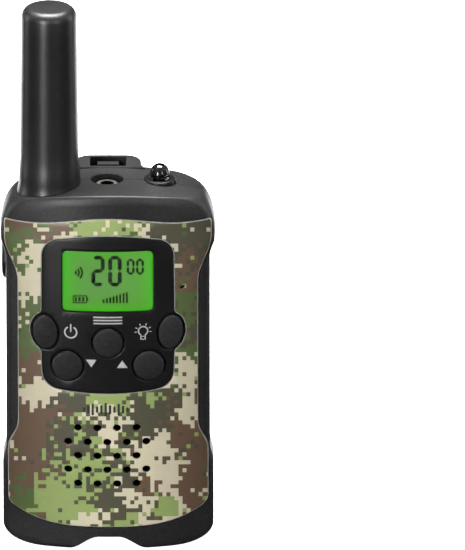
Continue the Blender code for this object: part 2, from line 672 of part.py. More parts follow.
def lamp_bezel():
    outside = [(LAMP_RING_R, 92.0), (LAMP_RING_R, 97.9), (LAMP_RING_R - 0.35, 98.25)]
    profile = outside + [(2.0, 98.25), (2.0, 92.0)]
    centre = (LAMP_X, LAMP_Y)
    ring = turned("led_bezel", profile, centre, closed_loop=True)
    cut(ring, moved(casing("deck"), (0.0, 0.0, GAP)))
    join(ring, turned("neck", [(LAMP_NECK_R, 94.0), (LAMP_NECK_R, 98.0)], centre))
    return cut(ring, turned("bore", [(LAMP_R + GAP, 80.0), (LAMP_R + GAP, 110.0)], centre))


def lamp():
    """The clear dome lamp on top, with its wider foot inside the casing."""
    dome_z = LAMP_TOP_Z - LAMP_R
    profile = [(2.9, 91.6), (2.9, 92.6), (LAMP_R, 92.6), (LAMP_R, dome_z)]
    for i in range(1, 4):
        angle = 0.5 * math.pi * i / 4
        profile.append((LAMP_R * math.cos(angle), dome_z + LAMP_R * math.sin(angle)))
    profile.append((0.15, LAMP_TOP_Z))
    return turned("led_lamp", profile, (LAMP_X, LAMP_Y), steps=16)


# ---------------------------------------------------------------- electronics


def display_parts():
    """The display glass stands in the casing's window behind the lens, with its light guide behind it."""
    wide, tall = (-DISPLAY_HALF, DISPLAY_HALF), (DISPLAY_LOW, DISPLAY_HIGH)
    glass = box("lcd_glass", wide, (DISPLAY_FRONT_Y, DISPLAY_FRONT_Y + 1.5), tall)
    light = box("lcd_backlight", wide, (DISPLAY_FRONT_Y + 1.8, BOARD_FRONT_Y - GAP), tall)
    return glass, light


def main_board():
    board = box(
        "main_board",
        (-BOARD_HALF, BOARD_HALF),
        (BOARD_FRONT_Y, BOARD_FRONT_Y + BOARD_THICK),
        (BOARD_LOW, BOARD_HIGH),
    )
    notch = turned("notch", [(7.5, -20.0), (7.5, 20.0)], (0.0, BOARD_LOW - 4.0), "Y", 16)
    return cut(board, notch)


def keypad_mat():
    """The rubber mat on the board, with one dome under each key."""
    mat = box("keypad_mat", (-19.8, 19.8), (-6.0, -5.5), (46.5, 64.4))
    for _, x, z, _, _, _ in KEYS:
        dome = [(1.6, -6.4), (2.4, -6.2), (2.4, -5.6)]
        join(mat, turned("dome", dome, (x, z), "Y", 10))
    return mat


def radio_shield():
    shield = box("rf_shield", (-11.0, 11.0), (-3.7, -1.4), (64.8, 81.5))
    return cut(shield, box("inside", (-10.4, 10.4), (-5.0, -2.0), (65.4, 80.9)))


def speaker_parts():
    """The loudspeaker: dust cloth, steel frame, cone and magnet. Depths count back from its front."""
    centre = (GRILLE_X, SPEAKER_Z)

    def part(name, profile, steps=24, closed_loop=False):
        placed = [(radius, SPEAKER_FRONT_Y + depth) for radius, depth in profile]
        return turned(name, placed, centre, "Y", steps, closed_loop)

    cloth = part("speaker_cloth", [(12.8, 0.0), (12.8, 0.25)])
    rim, hub = SPEAKER_R, 7.2
    basket = [(rim, 0.55), (rim, 1.75), (9.0, 3.85), (hub, 3.85), (hub, 3.15), (11.2, 1.05), (11.2, 0.55)]
    frame = part("speaker_frame", basket, closed_loop=True)
    front = [(2.6, 1.25), (4.0, 1.65), (6.4, 2.05), (9.0, 1.55), (10.8, 0.75)]
    back = [(10.8, 1.0), (9.0, 1.85), (6.4, 2.45), (2.6, 2.45)]
    cone = part("speaker_cone", front + back, 16)
    magnet = part("speaker_magnet", [(6.6, 2.95), (6.6, 4.9)], 20)
    return cloth, frame, cone, magnet


def microphone():
    return turned("microphone", [(2.6, -7.3), (2.6, -5.9)], (MIC_X, MIC_Z), "Y", 14)


def talk_switch():
    """The switch on the board's left edge that the talk key presses."""
    body = box("ptt_switch", (-21.4, -19.0), (-5.2, 1.6), (73.4, 80.4))
    return join(body, box("plunger", (-21.8, -21.0), (-2.4, 0.0), (75.6, 78.2)))


# ---------------------------------------------------------------- battery bay


def cell(index):
    """One AAA cell; neighbours lie the opposite way round."""
    low, high = CELL_LOW_Z, CELL_LOW_Z + CELL_LENGTH
    profile = [(CELL_R - 0.3, low), (CELL_R, low + 0.3), (CELL_R, high - 1.3), (CELL_R - 0.4, high - 0.9)]
    profile += [(1.9, high - 0.9), (1.9, high)]
    if index % 2:
        profile = [(r, low + high - z) for r, z in profile[::-1]]
    return turned(f"battery_{index + 1}", profile, ((index - 1) * CELL_PITCH, CELL_Y), steps=16)


def contact_spring(index):
    """The conical spring at the cell's flat end."""
    centre = Vector(((index - 1) * CELL_PITCH, CELL_Y, 0.0))
    start, end = BAY_LOW + 0.75, CELL_LOW_Z - 0.7
    if index % 2:
        start, end = BAY_HIGH - 0.75, CELL_LOW_Z + CELL_LENGTH + 0.7
    route = []
    for i in range(22):
        angle = 2.0 * math.pi * i / 7
        wide = mix(3.9, 2.2, i / 21)
        height = mix(start, end, i / 21)
        route.append(centre + Vector((wide * math.cos(angle), wide * math.sin(angle), height)))
    return tube_along(f"contact_spring_{index + 1}", route, 0.3, 4)


def contact_plate(index):
    """The flat contact at the cell's other end."""
    x = (index - 1) * CELL_PITCH
    low = BAY_LOW + 0.35 if index % 2 else BAY_HIGH - 0.75
    deep = (CELL_Y - 4.4, CELL_Y + 4.4)
    return box(f"contact_plate_{index + 1}", (x - 4.6, x + 4.6), deep, (low, low + 0.4))


def battery_door():
    """The door over the cells: it slides down out of the casing, held by tongues along its sides and top."""
    face, tongue = door_blocks("battery_door", 0.0)
    rear_skin(face, 0.0, DOOR_THICK)
    rear_skin(tongue, DOOR_LIP + GAP, DOOR_THICK - 0.05)
    join(face, tongue)
    return cut(face, foot_arch(GAP), box("below", (-40.0, 40.0), (-40.0, 40.0), (-9.0, DOOR_LOW_Z)))


def clip_profile():
    """The belt clip seen from the side, as (y, z): a sprung arm that bows out from the casing and back."""
    middle = []
    for i in range(15):
        t = i / 14
        z = mix(CLIP_TIP_Z, 70.8, t)
        bow = math.sin(math.pi * min(t * 1.12, 1.0)) ** 0.7
        lip = 1.6 * (1.0 - smoothstep(t, 0.0, 0.12))
        middle.append((12.2 + 5.0 * bow + lip + 0.8 * t, z))
    inner = [(y - 0.5 * CLIP_THICK, z) for y, z in middle]
    outer = [(y + 0.5 * CLIP_THICK, z) for y, z in middle]
    return inner + outer[::-1]


def belt_clip():
    """The clip: arm, a tongue that fills the boss's channel, and a narrow latch at its top."""
    arm = prism("belt_clip", clip_profile(), -CLIP_HALF, CLIP_HALF, "X")
    depth = (TONGUE_FRONT_Y, TONGUE_REAR_Y)
    join(arm, box("tongue", (-TONGUE_HALF, TONGUE_HALF), depth, (68.5, TONGUE_TOP_Z)))
    latch_depth = (TONGUE_FRONT_Y, TONGUE_REAR_Y + 0.2)
    return join(arm, box("latch", (-LATCH_HALF, LATCH_HALF), latch_depth, (92.0, LATCH_TOP_Z)))


def case_screw(name, x, z):
    """A self-tapping screw, head towards the back."""
    profile = [(0.5, -4.6), (0.9, -3.8), (0.9, 3.9), (1.6, 3.9), (1.6, 4.9), (1.3, 5.2)]
    return turned(name, profile, (x, z), "Y", 12)


# ---------------------------------------------------------------- assembly


def material(name, colour, roughness, metallic):
    found = bpy.data.materials.get(name)
    if found:
        return found
    made = bpy.data.materials.new(name)
    made.use_nodes = True
    shader = made.node_tree.nodes["Principled BSDF"]
    shader.inputs["Base Color"].default_value = (*colour, 1.0)
    shader.inputs["Roughness"].default_value = roughness
    shader.inputs["Metallic"].default_value = metallic
    made.diffuse_color = (*colour, 1.0)
    return made


MATERIALS = {
    "casing_plastic": ((0.02, 0.02, 0.021), 0.55, 0.0),
    "camouflage": ((0.33, 0.34, 0.2), 0.35, 0.0),
    "panel_plastic": ((0.018, 0.018, 0.018), 0.4, 0.0),
    "clear_plastic": ((0.85, 0.9, 0.88), 0.08, 0.0),
    "display_glass": ((0.14, 0.5, 0.06), 0.2, 0.0),
    "white_plastic": ((0.8, 0.8, 0.78), 0.5, 0.0),
    "key_rubber": ((0.012, 0.012, 0.012), 0.7, 0.0),
    "nickel": ((0.72, 0.7, 0.66), 0.25, 1.0),
    "steel": ((0.55, 0.55, 0.55), 0.35, 1.0),
    "copper": ((0.72, 0.4, 0.25), 0.35, 1.0),
    "circuit_board": ((0.02, 0.16, 0.05), 0.45, 0.0),
    "cell_wrap": ((0.04, 0.1, 0.3), 0.3, 0.0),
    "dark_cloth": ((0.02, 0.02, 0.02), 0.95, 0.0),
    "paper": ((0.3, 0.28, 0.24), 0.85, 0.0),
}


def place(obj, slot, parent):
    """Puts the object's origin in the middle of its own box, gives it its material and its parent."""
    mesh = obj.data
    low = Vector([min(v.co[i] for v in mesh.vertices) for i in range(3)])
    high = Vector([max(v.co[i] for v in mesh.vertices) for i in range(3)])
    centre = (low + high) / 2.0
    mesh.transform(Matrix.Translation(-centre))
    mesh.materials.clear()
    mesh.materials.append(material(slot, *MATERIALS[slot]))
    mesh.shade_smooth()
    mesh.set_sharp_from_angle(angle=math.radians(35.0))
    mesh.name = obj.name
    obj.parent = parent
    obj.location = centre


def build():
    for obj in list(bpy.data.objects):
        bpy.data.objects.remove(obj)
    handset = bpy.data.objects.new("handset", None)
    bpy.context.scene.collection.objects.link(handset)
    handset.location = (0.0, -PARTING_TO_CENTRE * MM, 0.0)
    made = []

    def add(slot, *objects):
        made.extend((obj, slot) for obj in objects)

    add("casing_plastic", front_shell(), rear_shell(), aerial_cover(), lamp_bezel())
    add("casing_plastic", battery_door(), belt_clip())
    add("camouflage", camo_faceplate())
    add("panel_plastic", control_panel(), talk_button())
    add("clear_plastic", display_lens(), lamp())
    add("key_rubber", *[key(*values) for values in KEYS], keypad_mat())
    add("nickel", jack_bushing())
    add("white_plastic", aerial_core())
    add("copper", aerial_coil())
    glass, light = display_parts()
    add("display_glass", glass)
    add("white_plastic", light)
    add("circuit_board", main_board())
    add("steel", radio_shield(), microphone())
    add("panel_plastic", jack_socket(), talk_switch())
    cloth, frame, cone, magnet = speaker_parts()
    add("dark_cloth", cloth)
    add("steel", frame, magnet)
    add("paper", cone)
    for index in range(3):
        add("cell_wrap", cell(index))
        add("nickel", contact_spring(index), contact_plate(index))
    for row, z in (("lower", SCREW_LOW_Z), ("upper", SCREW_HIGH_Z)):
        for side, x in (("left", -SCREW_X), ("right", SCREW_X)):
            add("steel", case_screw(f"screw_{row}_{side}", x, z))
    for obj, slot in made:
        place(obj, slot, handset)


build()
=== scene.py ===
"""The looks of the toy walkie talkie.
"""

from math import atan2, copysign, cos, hypot, pi, radians, sin, sqrt

import bmesh
import bpy
from mathutils import Matrix, Vector
from mathutils.bvhtree import BVHTree


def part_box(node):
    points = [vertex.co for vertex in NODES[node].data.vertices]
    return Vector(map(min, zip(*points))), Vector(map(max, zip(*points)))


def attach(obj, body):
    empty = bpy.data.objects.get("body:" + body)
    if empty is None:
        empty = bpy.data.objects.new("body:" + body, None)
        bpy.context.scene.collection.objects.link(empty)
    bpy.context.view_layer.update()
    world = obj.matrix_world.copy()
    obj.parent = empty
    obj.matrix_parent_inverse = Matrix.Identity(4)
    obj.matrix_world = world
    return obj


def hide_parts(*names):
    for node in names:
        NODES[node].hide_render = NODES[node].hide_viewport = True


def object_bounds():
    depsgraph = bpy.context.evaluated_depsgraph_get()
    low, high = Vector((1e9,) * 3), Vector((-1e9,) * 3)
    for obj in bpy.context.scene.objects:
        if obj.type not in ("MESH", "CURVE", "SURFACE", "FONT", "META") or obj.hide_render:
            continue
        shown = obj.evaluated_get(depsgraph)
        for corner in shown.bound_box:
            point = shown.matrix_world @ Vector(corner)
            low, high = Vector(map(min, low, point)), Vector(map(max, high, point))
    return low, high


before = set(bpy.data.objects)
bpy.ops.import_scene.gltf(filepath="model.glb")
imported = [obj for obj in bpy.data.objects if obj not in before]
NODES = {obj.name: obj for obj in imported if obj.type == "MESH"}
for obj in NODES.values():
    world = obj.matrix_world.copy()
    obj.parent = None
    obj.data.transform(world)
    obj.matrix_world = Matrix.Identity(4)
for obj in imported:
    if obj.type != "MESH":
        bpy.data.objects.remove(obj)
CAD_LOW, CAD_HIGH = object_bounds()

MM = 0.001
PARTING_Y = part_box("front_shell")[1].y + 0.15 * MM
OFFSET = Vector((0.0, PARTING_Y, 0.0))

# Casing: half-widths, the two faces, their radii and corners, and the crowned deck
HOOD, WAIST, BASE = 27.75, 26.4, 27.35
FRONT_Y, REAR_Y = -14.5, 10.0
FRONT_R, REAR_R = 64.0, 300.0
FRONT_CORNER, REAR_CORNER = 3.0, 8.0
DECK_Z, DECK_CROWN = 98.2, 0.0045
# How far the rounded ends draw in at the side, front and rear, and how much their corners grow
FOOT_ROUND = (7.6, 0.8, 2.0, 5.0)
DECK_ROUND = (4.2, 1.1, 0.4, 7.5)
# The walls, the two front plates, and the gaps round plates, keys and the door
WALLS = (2.0, 3.0, 2.0, 2.2)
SKIN = 1.2
SEAM, WELL, GAP = 0.14, 0.27, 0.3
EAR = 0.68
PANEL_HALF = 17.05
PANEL_MIDDLE = 65.0
CAMO_HOOD, CAMO_FOOT, CAMO_WAIST = 26.85, 26.0, 23.35
WINDOW = (11.7, 66.6, 83.3, 1.1)

# Keys: x, z, half-width, half-height and tilt
KEYS = {
    "menu_button": (0.0, 58.2, 3.98, 3.98, 0.0),
    "down_button": (-10.5, 51.65, 4.03, 4.03, 0.0),
    "up_button": (10.5, 51.65, 4.03, 4.03, 0.0),
    "power_button": (-16.2, 60.55, 3.22, 4.65, 7.0),
    "lamp_button": (16.2, 60.55, 3.22, 4.65, -7.0),
}
GRILLE_ROWS = ((34.4, 4), (30.4, 5), (26.5, 4), (22.6, 5), (18.7, 4))
GRILLE_PITCH, GRILLE_X = 5.05, -0.2
SPEAKER = (GRILLE_X, 26.5)
MIC = (19.3, 72.5)
TALK = (-1.2, 76.9)
# Places on the deck
AERIAL = (-15.05, -2.2)
JACK = (-0.2, 0.0)
LAMP = (13.4, 0.6)
SCREWS = [(sx * 22.2, z) for sx in (-1, 1) for z in (10.5, 66.0)]


def smoothstep(value, low, high):
    t = min(max((value - low) / (high - low), 0.0), 1.0)
    return t * t * (3.0 - 2.0 * t)


def mix(a, b, t):
    return a + (b - a) * t


# ---------------------------------------------------------------- mesh helpers


def add_object(name, data):
    obj = bpy.data.objects.new(name, data)
    bpy.context.scene.collection.objects.link(obj)
    return obj


def face_outward(solid):
    bmesh.ops.recalc_face_normals(solid, faces=solid.faces)
    if solid.calc_volume(signed=True) < 0.0:
        bmesh.ops.reverse_faces(solid, faces=solid.faces)


def merge_near(solid, distance):
    bmesh.ops.remove_doubles(solid, verts=solid.verts, dist=distance * MM)


def reworked(mesh, *steps):
    solid = bmesh.new()
    solid.from_mesh(mesh)
    for step in steps:
        step(solid)
    solid.to_mesh(mesh)
    solid.free()
    return mesh


def new_object(name, points, faces):
    """An object in the shared frame from points in millimetres, faces turned outward."""
    mesh = bpy.data.meshes.new(name)
    mesh.from_pydata([Vector(p) * MM + OFFSET for p in points], [], faces)
    return add_object(name, reworked(mesh, face_outward))


def drop_slivers(solid):
    merge_near(solid, 0.002)
    bmesh.ops.dissolve_degenerate(solid, edges=solid.edges, dist=0.002 * MM)


def boolean(target, other, operation):
    modifier = target.modifiers.new("boolean", "BOOLEAN")
    modifier.solver = "EXACT"
    modifier.operation = operation
    modifier.object = other
    bpy.context.view_layer.update()
    evaluated = target.evaluated_get(bpy.context.evaluated_depsgraph_get())
    result = bpy.data.meshes.new_from_object(evaluated)
    target.modifiers.remove(modifier)
    target.data = reworked(result, drop_slivers)
    bpy.data.objects.remove(other)
    return target


def cut(target, *others):
    for other in others:
        boolean(target, other, "DIFFERENCE")
    return target


def join(target, *others):
    for other in others:
        boolean(target, other, "UNION")
    return target


def keep(target, other):
    return boolean(target, other, "INTERSECT")


def moved(obj, x, y, z):
    obj.data.transform(Matrix.Translation(Vector((x, y, z)) * MM))
    return obj


def loft(name, rings, low_tip=None, high_tip=None):
    """A skin over rings of equally many points, closed by a fan to each tip that is given."""
    count = len(rings[0])
    points = [p for ring in rings for p in ring]
    faces = []
    for row in range(len(rings) - 1):
        for i in range(count):
            j = (i + 1) % count
            low, high = row * count, (row + 1) * count
            faces.append((low + i, low + j, high + j, high + i))
    last = (len(rings) - 1) * count
    if low_tip:
        points.append(low_tip)
        faces += [(len(points) - 1, (i + 1) % count, i) for i in range(count)]
    if high_tip:
        points.append(high_tip)
        faces += [(len(points) - 1, last + i, last + (i + 1) % count) for i in range(count)]
    return new_object(name, points, faces)


AXES = {
    "X": lambda a, b, h: (h, a, b),
    "Y": lambda a, b, h: (a, h, b),
    "Z": lambda a, b, h: (a, b, h),
}


def prisms(name, outlines, low, high, axis="Y"):
    """Outlines pushed along an axis: pairs are (y, z) for X, (x, z) for Y and (x, y) for Z."""
    put = AXES[axis]
    points, faces = [], []
    for outline in outlines:
        start, count = len(points), len(outline)
        points += [put(a, b, low) for a, b in outline] + [put(a, b, high) for a, b in outline]
        faces.append(tuple(range(start, start + count)))
        faces.append(tuple(range(start + 2 * count - 1, start + count - 1, -1)))
        for i in range(count):
            j = (i + 1) % count
            faces.append((start + i, start + j, start + count + j, start + count + i))
    return new_object(name, points, faces)


def rectangle(x, y):
    return [(x[0], y[0]), (x[1], y[0]), (x[1], y[1]), (x[0], y[1])]


def box(name, x, y, z):
    return prisms(name, [rectangle(x, y)], z[0], z[1], "Z")


def turned(name, profile, centre, axis="Z", steps=64, ring=False):
    """A profile of (radius, place along the axis) turned round a centre; a ring's profile closes."""

    def put(a, b, h):
        return AXES[axis](centre[0] + a, centre[1] + b, h)

    turns = [2.0 * pi * (i + 0.5) / steps for i in range(steps)]
    rings = [[put(r * cos(t), r * sin(t), h) for t in turns] for r, h in profile]
    if ring:
        return weld(loft(name, rings + [rings[0]]))
    return loft(name, rings, put(0.0, 0.0, profile[0][1]), put(0.0, 0.0, profile[-1][1]))


def tube(name, route, radius, closed=True, sides=6):
    """A round bead along a list of points in millimetres."""
    rings = []
    count = len(route)
    for i, point in enumerate(route):
        after = Vector(route[(i + 1) % count] if closed else route[min(i + 1, count - 1)])
        before = Vector(route[i - 1] if closed else route[max(i - 1, 0)])
        ahead = (after - before).normalized()
        out = Vector((0.0, 1.0, 0.0)).cross(ahead).normalized()
        up = ahead.cross(out)
        turns = [2.0 * pi * k / sides for k in range(sides)]
        spokes = [out * cos(t) + up * sin(t) for t in turns]
        rings.append([tuple(Vector(point) + radius * spoke) for spoke in spokes])
    if closed:
        return weld(loft(name, rings + [rings[0]]))
    return loft(name, rings, route[0], route[-1])


def weld(obj):
    """Joins the first and last rings of a closed loft."""
    reworked(obj.data, lambda solid: merge_near(solid, 0.001), face_outward)
    return obj


# ---------------------------------------------------------------- outlines


def oval(x, z, wide, high, tilt=0.0, steps=48):
    turn = radians(tilt)
    outline = []
    for i in range(steps):
        angle = 2.0 * pi * (i + 0.5) / steps
        a, b = wide * cos(angle), high * sin(angle)
        right = a * cos(turn) - b * sin(turn)
        up = a * sin(turn) + b * cos(turn)
        outline.append((x + right, z + up))
    return outline


def rounded_box(half, low, high, corner, steps=8, arch=None):
    """A box about x = 0 with round corners; arch bows its bottom and top outward."""
    outline = []
    corners = ((1, low, 1, 270), (1, high, -1, 0), (-1, high, -1, 90), (-1, low, 1, 180))
    for side, z, inward, start in corners:
        for i in range(steps + 1):
            angle = radians(start + 90.0 * i / steps)
            x, y = side * (half - corner), z + inward * corner
            outline.append((x + corner * cos(angle), y + corner * sin(angle)))
    if arch:
        bow = [(t / 10.0 * (half - corner), 1.0 - (t / 10.0) ** 2) for t in range(-9, 10)]
        outline[2 * (steps + 1):2 * (steps + 1)] = [(-x, high + arch[1] * rise) for x, rise in bow]
        outline += [(x, low - arch[0] * rise) for x, rise in bow]
    return outline


def resampled(loop, spacing):
    """The same closed outline with points at an even spacing."""
    points = [Vector(p) for p in loop]
    lengths = [(points[(i + 1) % len(points)] - p).length for i, p in enumerate(points)]
    total = sum(lengths)
    count = max(12, int(total / spacing))
    result, index, passed = [], 0, 0.0
    for step in range(count):
        target = total * step / count
        while passed + lengths[index] < target:
            passed += lengths[index]
            index += 1
        t = (target - passed) / max(lengths[index], 1e-9)
        result.append(points[index].lerp(points[(index + 1) % len(points)], t))
    return result


def softened(loop, spacing, passes):
    """An evenly spaced outline whose corners are rounded by averaging neighbours."""
    points = resampled(loop, spacing)
    for _ in range(passes):
        after = points[1:] + points[:1]
        points = [0.5 * p + 0.25 * (points[i - 1] + after[i]) for i, p in enumerate(points)]
    return [tuple(p) for p in points]


def inset(loop, amount):
    """The outline moved inward by an amount; a negative amount grows it."""
    area = sum(a[0] * b[1] - b[0] * a[1] for a, b in zip(loop, loop[1:] + loop[:1]))
    turn = 1.0 if area > 0.0 else -1.0
    result = []
    for i, point in enumerate(loop):
        ahead = Vector(loop[(i + 1) % len(loop)]) - Vector(loop[i - 1])
        normal = Vector((-ahead.y, ahead.x)).normalized() * turn
        result.append((point[0] + amount * normal.x, point[1] + amount * normal.y))
    return result


def mirrored(half):
    """A closed outline from its right half, whose first and last points are on the centre line."""
    return half + [(-x, y) for x, y in half[-2:0:-1]]


def camo_half(z):
    upper = (CAMO_HOOD - CAMO_WAIST) * smoothstep(z, 74.0, 85.5)
    lower = (CAMO_FOOT - CAMO_WAIST) * smoothstep(-z, -34.6, -27.0)
    return CAMO_WAIST + upper + lower


def camo_top(x):
    return 92.2 - 2.1 * 0.5 * (1.0 - cos(pi * x / 22.0))


def camo_bottom(x):
    return 6.3 + 5.5 * (abs(x) / 26.0) ** 3.4


def camo_outline():
    right = [(camo_half(z), z) for z in [12.5 + 0.75 * i for i in range(101)] if z < 88.1]
    tops = [CAMO_HOOD * (1.0 - i / 20.0) for i in range(21)]
    bottoms = [CAMO_FOOT * 0.97 * i / 20.0 for i in range(21)]
    half = [(x, camo_bottom(x)) for x in bottoms] + right + [(x, camo_top(x)) for x in tops]
    return softened(mirrored(half), 0.5, 4)


def panel_outline():
    """A box with bowed ends and an ear round each outer key."""
    body = rounded_box(PANEL_HALF, 44.8, 86.3, 4.8, arch=(0.8, 1.1))
    x, z, wide, high, tilt = KEYS["lamp_button"]
    ear = [p for p in oval(x, z, wide + EAR, high + EAR, tilt, 96) if p[0] > PANEL_HALF]
    ear.sort(key=lambda p: atan2(p[1] - z, p[0] - 10.0))
    below = [p for p in body if p[0] > 0.0 and p[1] < z]
    above = [p for p in body if p[0] > 0.0 and p[1] > z]
    right = sorted(below + ear + above, key=lambda p: atan2(p[1] - PANEL_MIDDLE, p[0]))
    return softened(mirrored([(0.0, 44.0)] + right + [(0.0, 87.4)]), 0.35, 4)


def grille_outlines():
    outlines = []
    for z, count in GRILLE_ROWS:
        for i in range(count):
            x = GRILLE_X + (i - 0.5 * (count - 1)) * GRILLE_PITCH
            outlines.append(oval(x, z, 1.03, 0.9, steps=20))
    return outlines


def mic_outline():
    return oval(*MIC, 0.7, 0.36, 30.0, 16)


def talk_outline(deeper, higher, steps=40):
    """The talk key seen from its side, in (y, z): an oval with pointed ends."""
    outline = []
    for i in range(steps):
        angle = 2.0 * pi * (i + 0.5) / steps
        deep = (4.4 + deeper) * copysign(abs(cos(angle)) ** 1.3, cos(angle))
        outline.append((TALK[0] + deep, TALK[1] + (5.7 + higher) * sin(angle)))
    return outline


# ---------------------------------------------------------------- casing


def half_width(z):
    hood = (HOOD - WAIST) * smoothstep(z, 79.5, 84.5)
    return WAIST + hood + (BASE - WAIST) * smoothstep(-z, -27.5, -22.0)


def front_centre_y(z):
    return FRONT_Y + (z - 60.0) ** 2 / 1800.0


def front_y(x, z):
    return front_centre_y(z) + FRONT_R - sqrt(FRONT_R ** 2 - x ** 2)


def arc(centre_x, centre_y, radius, start, end, steps):
    turn = [mix(start, end, i / steps) for i in range(steps + 1)]
    return [(centre_x + radius * cos(t), centre_y + radius * sin(t)) for t in turn]


def plan(wide, front, rear, front_corner, rear_corner, front_radius, rear_radius, fine):
    """One level outline: two bowed faces whose corner arcs touch them and the straight sides."""
    front_centre, rear_centre = front + front_radius, rear - rear_radius
    front_x, rear_x = wide - front_corner, wide - rear_corner
    corner_y = front_centre - sqrt((front_radius - front_corner) ** 2 - front_x ** 2)
    rear_corner_y = rear_centre + sqrt((rear_radius - rear_corner) ** 2 - rear_x ** 2)
    front_end = atan2(corner_y - front_centre, front_x)
    rear_end = atan2(rear_corner_y - rear_centre, rear_x)
    half = arc(0.0, front_centre, front_radius, -pi / 2.0, front_end, 5 * fine)[:-1]
    half += arc(front_x, corner_y, front_corner, front_end, 0.0, 3 * fine)
    half += arc(rear_x, rear_corner_y, rear_corner, 0.0, rear_end, 3 * fine)
    half += arc(0.0, rear_centre, rear_radius, rear_end, pi / 2.0, 4 * fine)[1:]
    return mirrored(half)


def casing(name, side_in=0.0, front_in=0.0, rear_in=0.0, end_in=0.0, fine=3):
    """The whole casing as one closed solid, or a smaller one inside it."""

    def outline(z, narrower, front_back, rear_forward, grow):
        return plan(
            half_width(z) - side_in - narrower,
            front_centre_y(z) + front_in + front_back,
            REAR_Y - rear_in - rear_forward,
            FRONT_CORNER + max(0.0, grow - 1.2 * front_in),
            REAR_CORNER - rear_in,
            FRONT_R - front_in,
            REAR_R - rear_in,
            fine,
        )

    def drop(x, front, side):
        return mix(front, side, smoothstep(abs(x) / HOOD, 0.5, 1.0))

    def deck(x):
        return DECK_Z - end_in - DECK_CROWN * x * x

    edge_steps = 4 * fine if fine > 1 else 2
    heights = [10.0, 16.0] + [20.0 + 0.8 * i for i in range(11)] + [32.0 + 4.0 * i for i in range(12)]
    heights += [78.5 + 0.6 * i for i in range(9)] + [83.8]
    if fine == 1:
        heights = [10.0, 22.0, 27.5, 60.0, 79.5, 83.6]
    rings = []
    for step in range(edge_steps + 1):
        angle = 0.5 * pi * (1.0 - step / edge_steps)
        inward, rise = 1.0 - cos(angle), 1.0 - sin(angle)
        flat = outline(4.0, *[inward * amount for amount in FOOT_ROUND])
        rings.append([(x, y, end_in + rise * drop(x, 1.4, 5.0)) for x, y in flat])
    rings.insert(0, [(0.5 * x, 0.5 * y, z) for x, y, z in rings[0]])
    for z in heights:
        rings.append([(x, y, z) for x, y in outline(z, 0.0, 0.0, 0.0, 0.0)])
    for step in range(edge_steps + 1):
        angle = 0.5 * pi * step / edge_steps
        inward, fall = 1.0 - cos(angle), 1.0 - sin(angle)
        flat = outline(94.0, *[inward * amount for amount in DECK_ROUND])
        rings.append([(x, y, deck(x) - fall * drop(x, 2.8, 9.0)) for x, y in flat])
    rim = rings[-1]
    for scale in (0.8, 0.6, 0.4, 0.2) if fine > 1 else (0.7, 0.4):
        rings.append([(scale * x, scale * y, deck(scale * x)) for x, y, z in rim])
    return loft(name, rings, (0.0, 0.0, end_in), (0.0, 0.0, deck(0.0)))


def surface_of(obj):
    """A ray-cast tree of an object's mesh, in the layout's millimetres."""
    points = [(v.co - OFFSET) / MM for v in obj.data.vertices]
    return BVHTree.FromPolygons(points, [tuple(p.vertices) for p in obj.data.polygons])


CASING = casing("casing_template")
SURFACE = surface_of(CASING)


def surface_y(x, z):
    """How far forward the casing's front surface is at one place."""
    hit = SURFACE.ray_cast(Vector((x, -60.0, z)), Vector((0.0, 1.0, 0.0)))[0]
    return hit.y if hit else front_y(x, z)


def outer_casing(name, back=0.0):
    return moved(add_object(name, CASING.data.copy()), 0.0, back, 0.0)


def recess(outline, depth):
    """What lies within an outline and less than a depth below the casing's front."""
    return cut(prisms("recess", [outline], -30.0, 2.0), outer_casing("under", depth))


def curved_sheet(name, outer, holes, thick, edge, lift=0.0, cell=1.6, edge_steps=3):
    """A plate that follows the casing's front, with rounded edges.

    It is made flat, split into cells and bent; material slot 1 marks its outer edge.
    """
    solid = bmesh.new()
    fronts, backs = [], []
    rim_faces = []
    for number, loop in enumerate([outer] + holes):
        sign = 1.0 if number == 0 else -1.0
        rows = [(0.0, thick)]
        for k in range(edge_steps + 1):
            angle = 0.5 * pi * k / edge_steps
            rows.append((edge * (1.0 - cos(angle)), edge * (1.0 - sin(angle))))
        made = []
        for amount, depth in rows:
            ring = inset(loop, sign * amount)
            made.append([solid.verts.new((x, depth, z)) for x, z in ring])
        for low, high in zip(made, made[1:]):
            for i in range(len(loop)):
                j = (i + 1) % len(loop)
                face = solid.faces.new((low[i], low[j], high[j], high[i]))
                if number == 0:
                    rim_faces.append(face)
        backs += ring_edges(solid, made[0])
        fronts += ring_edges(solid, made[-1])
    for face in rim_faces:
        face.material_index = 1
    for edges in (fronts, backs):
        bmesh.ops.triangle_fill(solid, use_beauty=True, edges=edges, normal=(0.0, -1.0, 0.0))
    for axis in (0, 2):
        values = [v.co[axis] for v in solid.verts]
        place, high = min(values) + cell, max(values)
        while place < high:
            point, normal = Vector((0.0, 0.0, 0.0)), Vector((0.0, 0.0, 0.0))
            point[axis], normal[axis] = place, 1.0
            everything = [*solid.verts, *solid.edges, *solid.faces]
            bmesh.ops.bisect_plane(solid, geom=everything, dist=1e-5, plane_co=point, plane_no=normal)
            place += cell
    for vert in solid.verts:
        vert.co.y += surface_y(vert.co.x, vert.co.z) - lift
        vert.co = vert.co * MM + OFFSET
    merge_near(solid, 1e-4)
    face_outward(solid)
    mesh = bpy.data.meshes.new(name)
    solid.to_mesh(mesh)
    solid.free()
    return add_object(name, mesh)


def ring_edges(solid, verts):
    edges = []
    for i, vert in enumerate(verts):
        other = verts[(i + 1) % len(verts)]
        edges.append(solid.edges.get((vert, other)) or solid.edges.new((vert, other)))
    return edges


# ---------------------------------------------------------------- materials


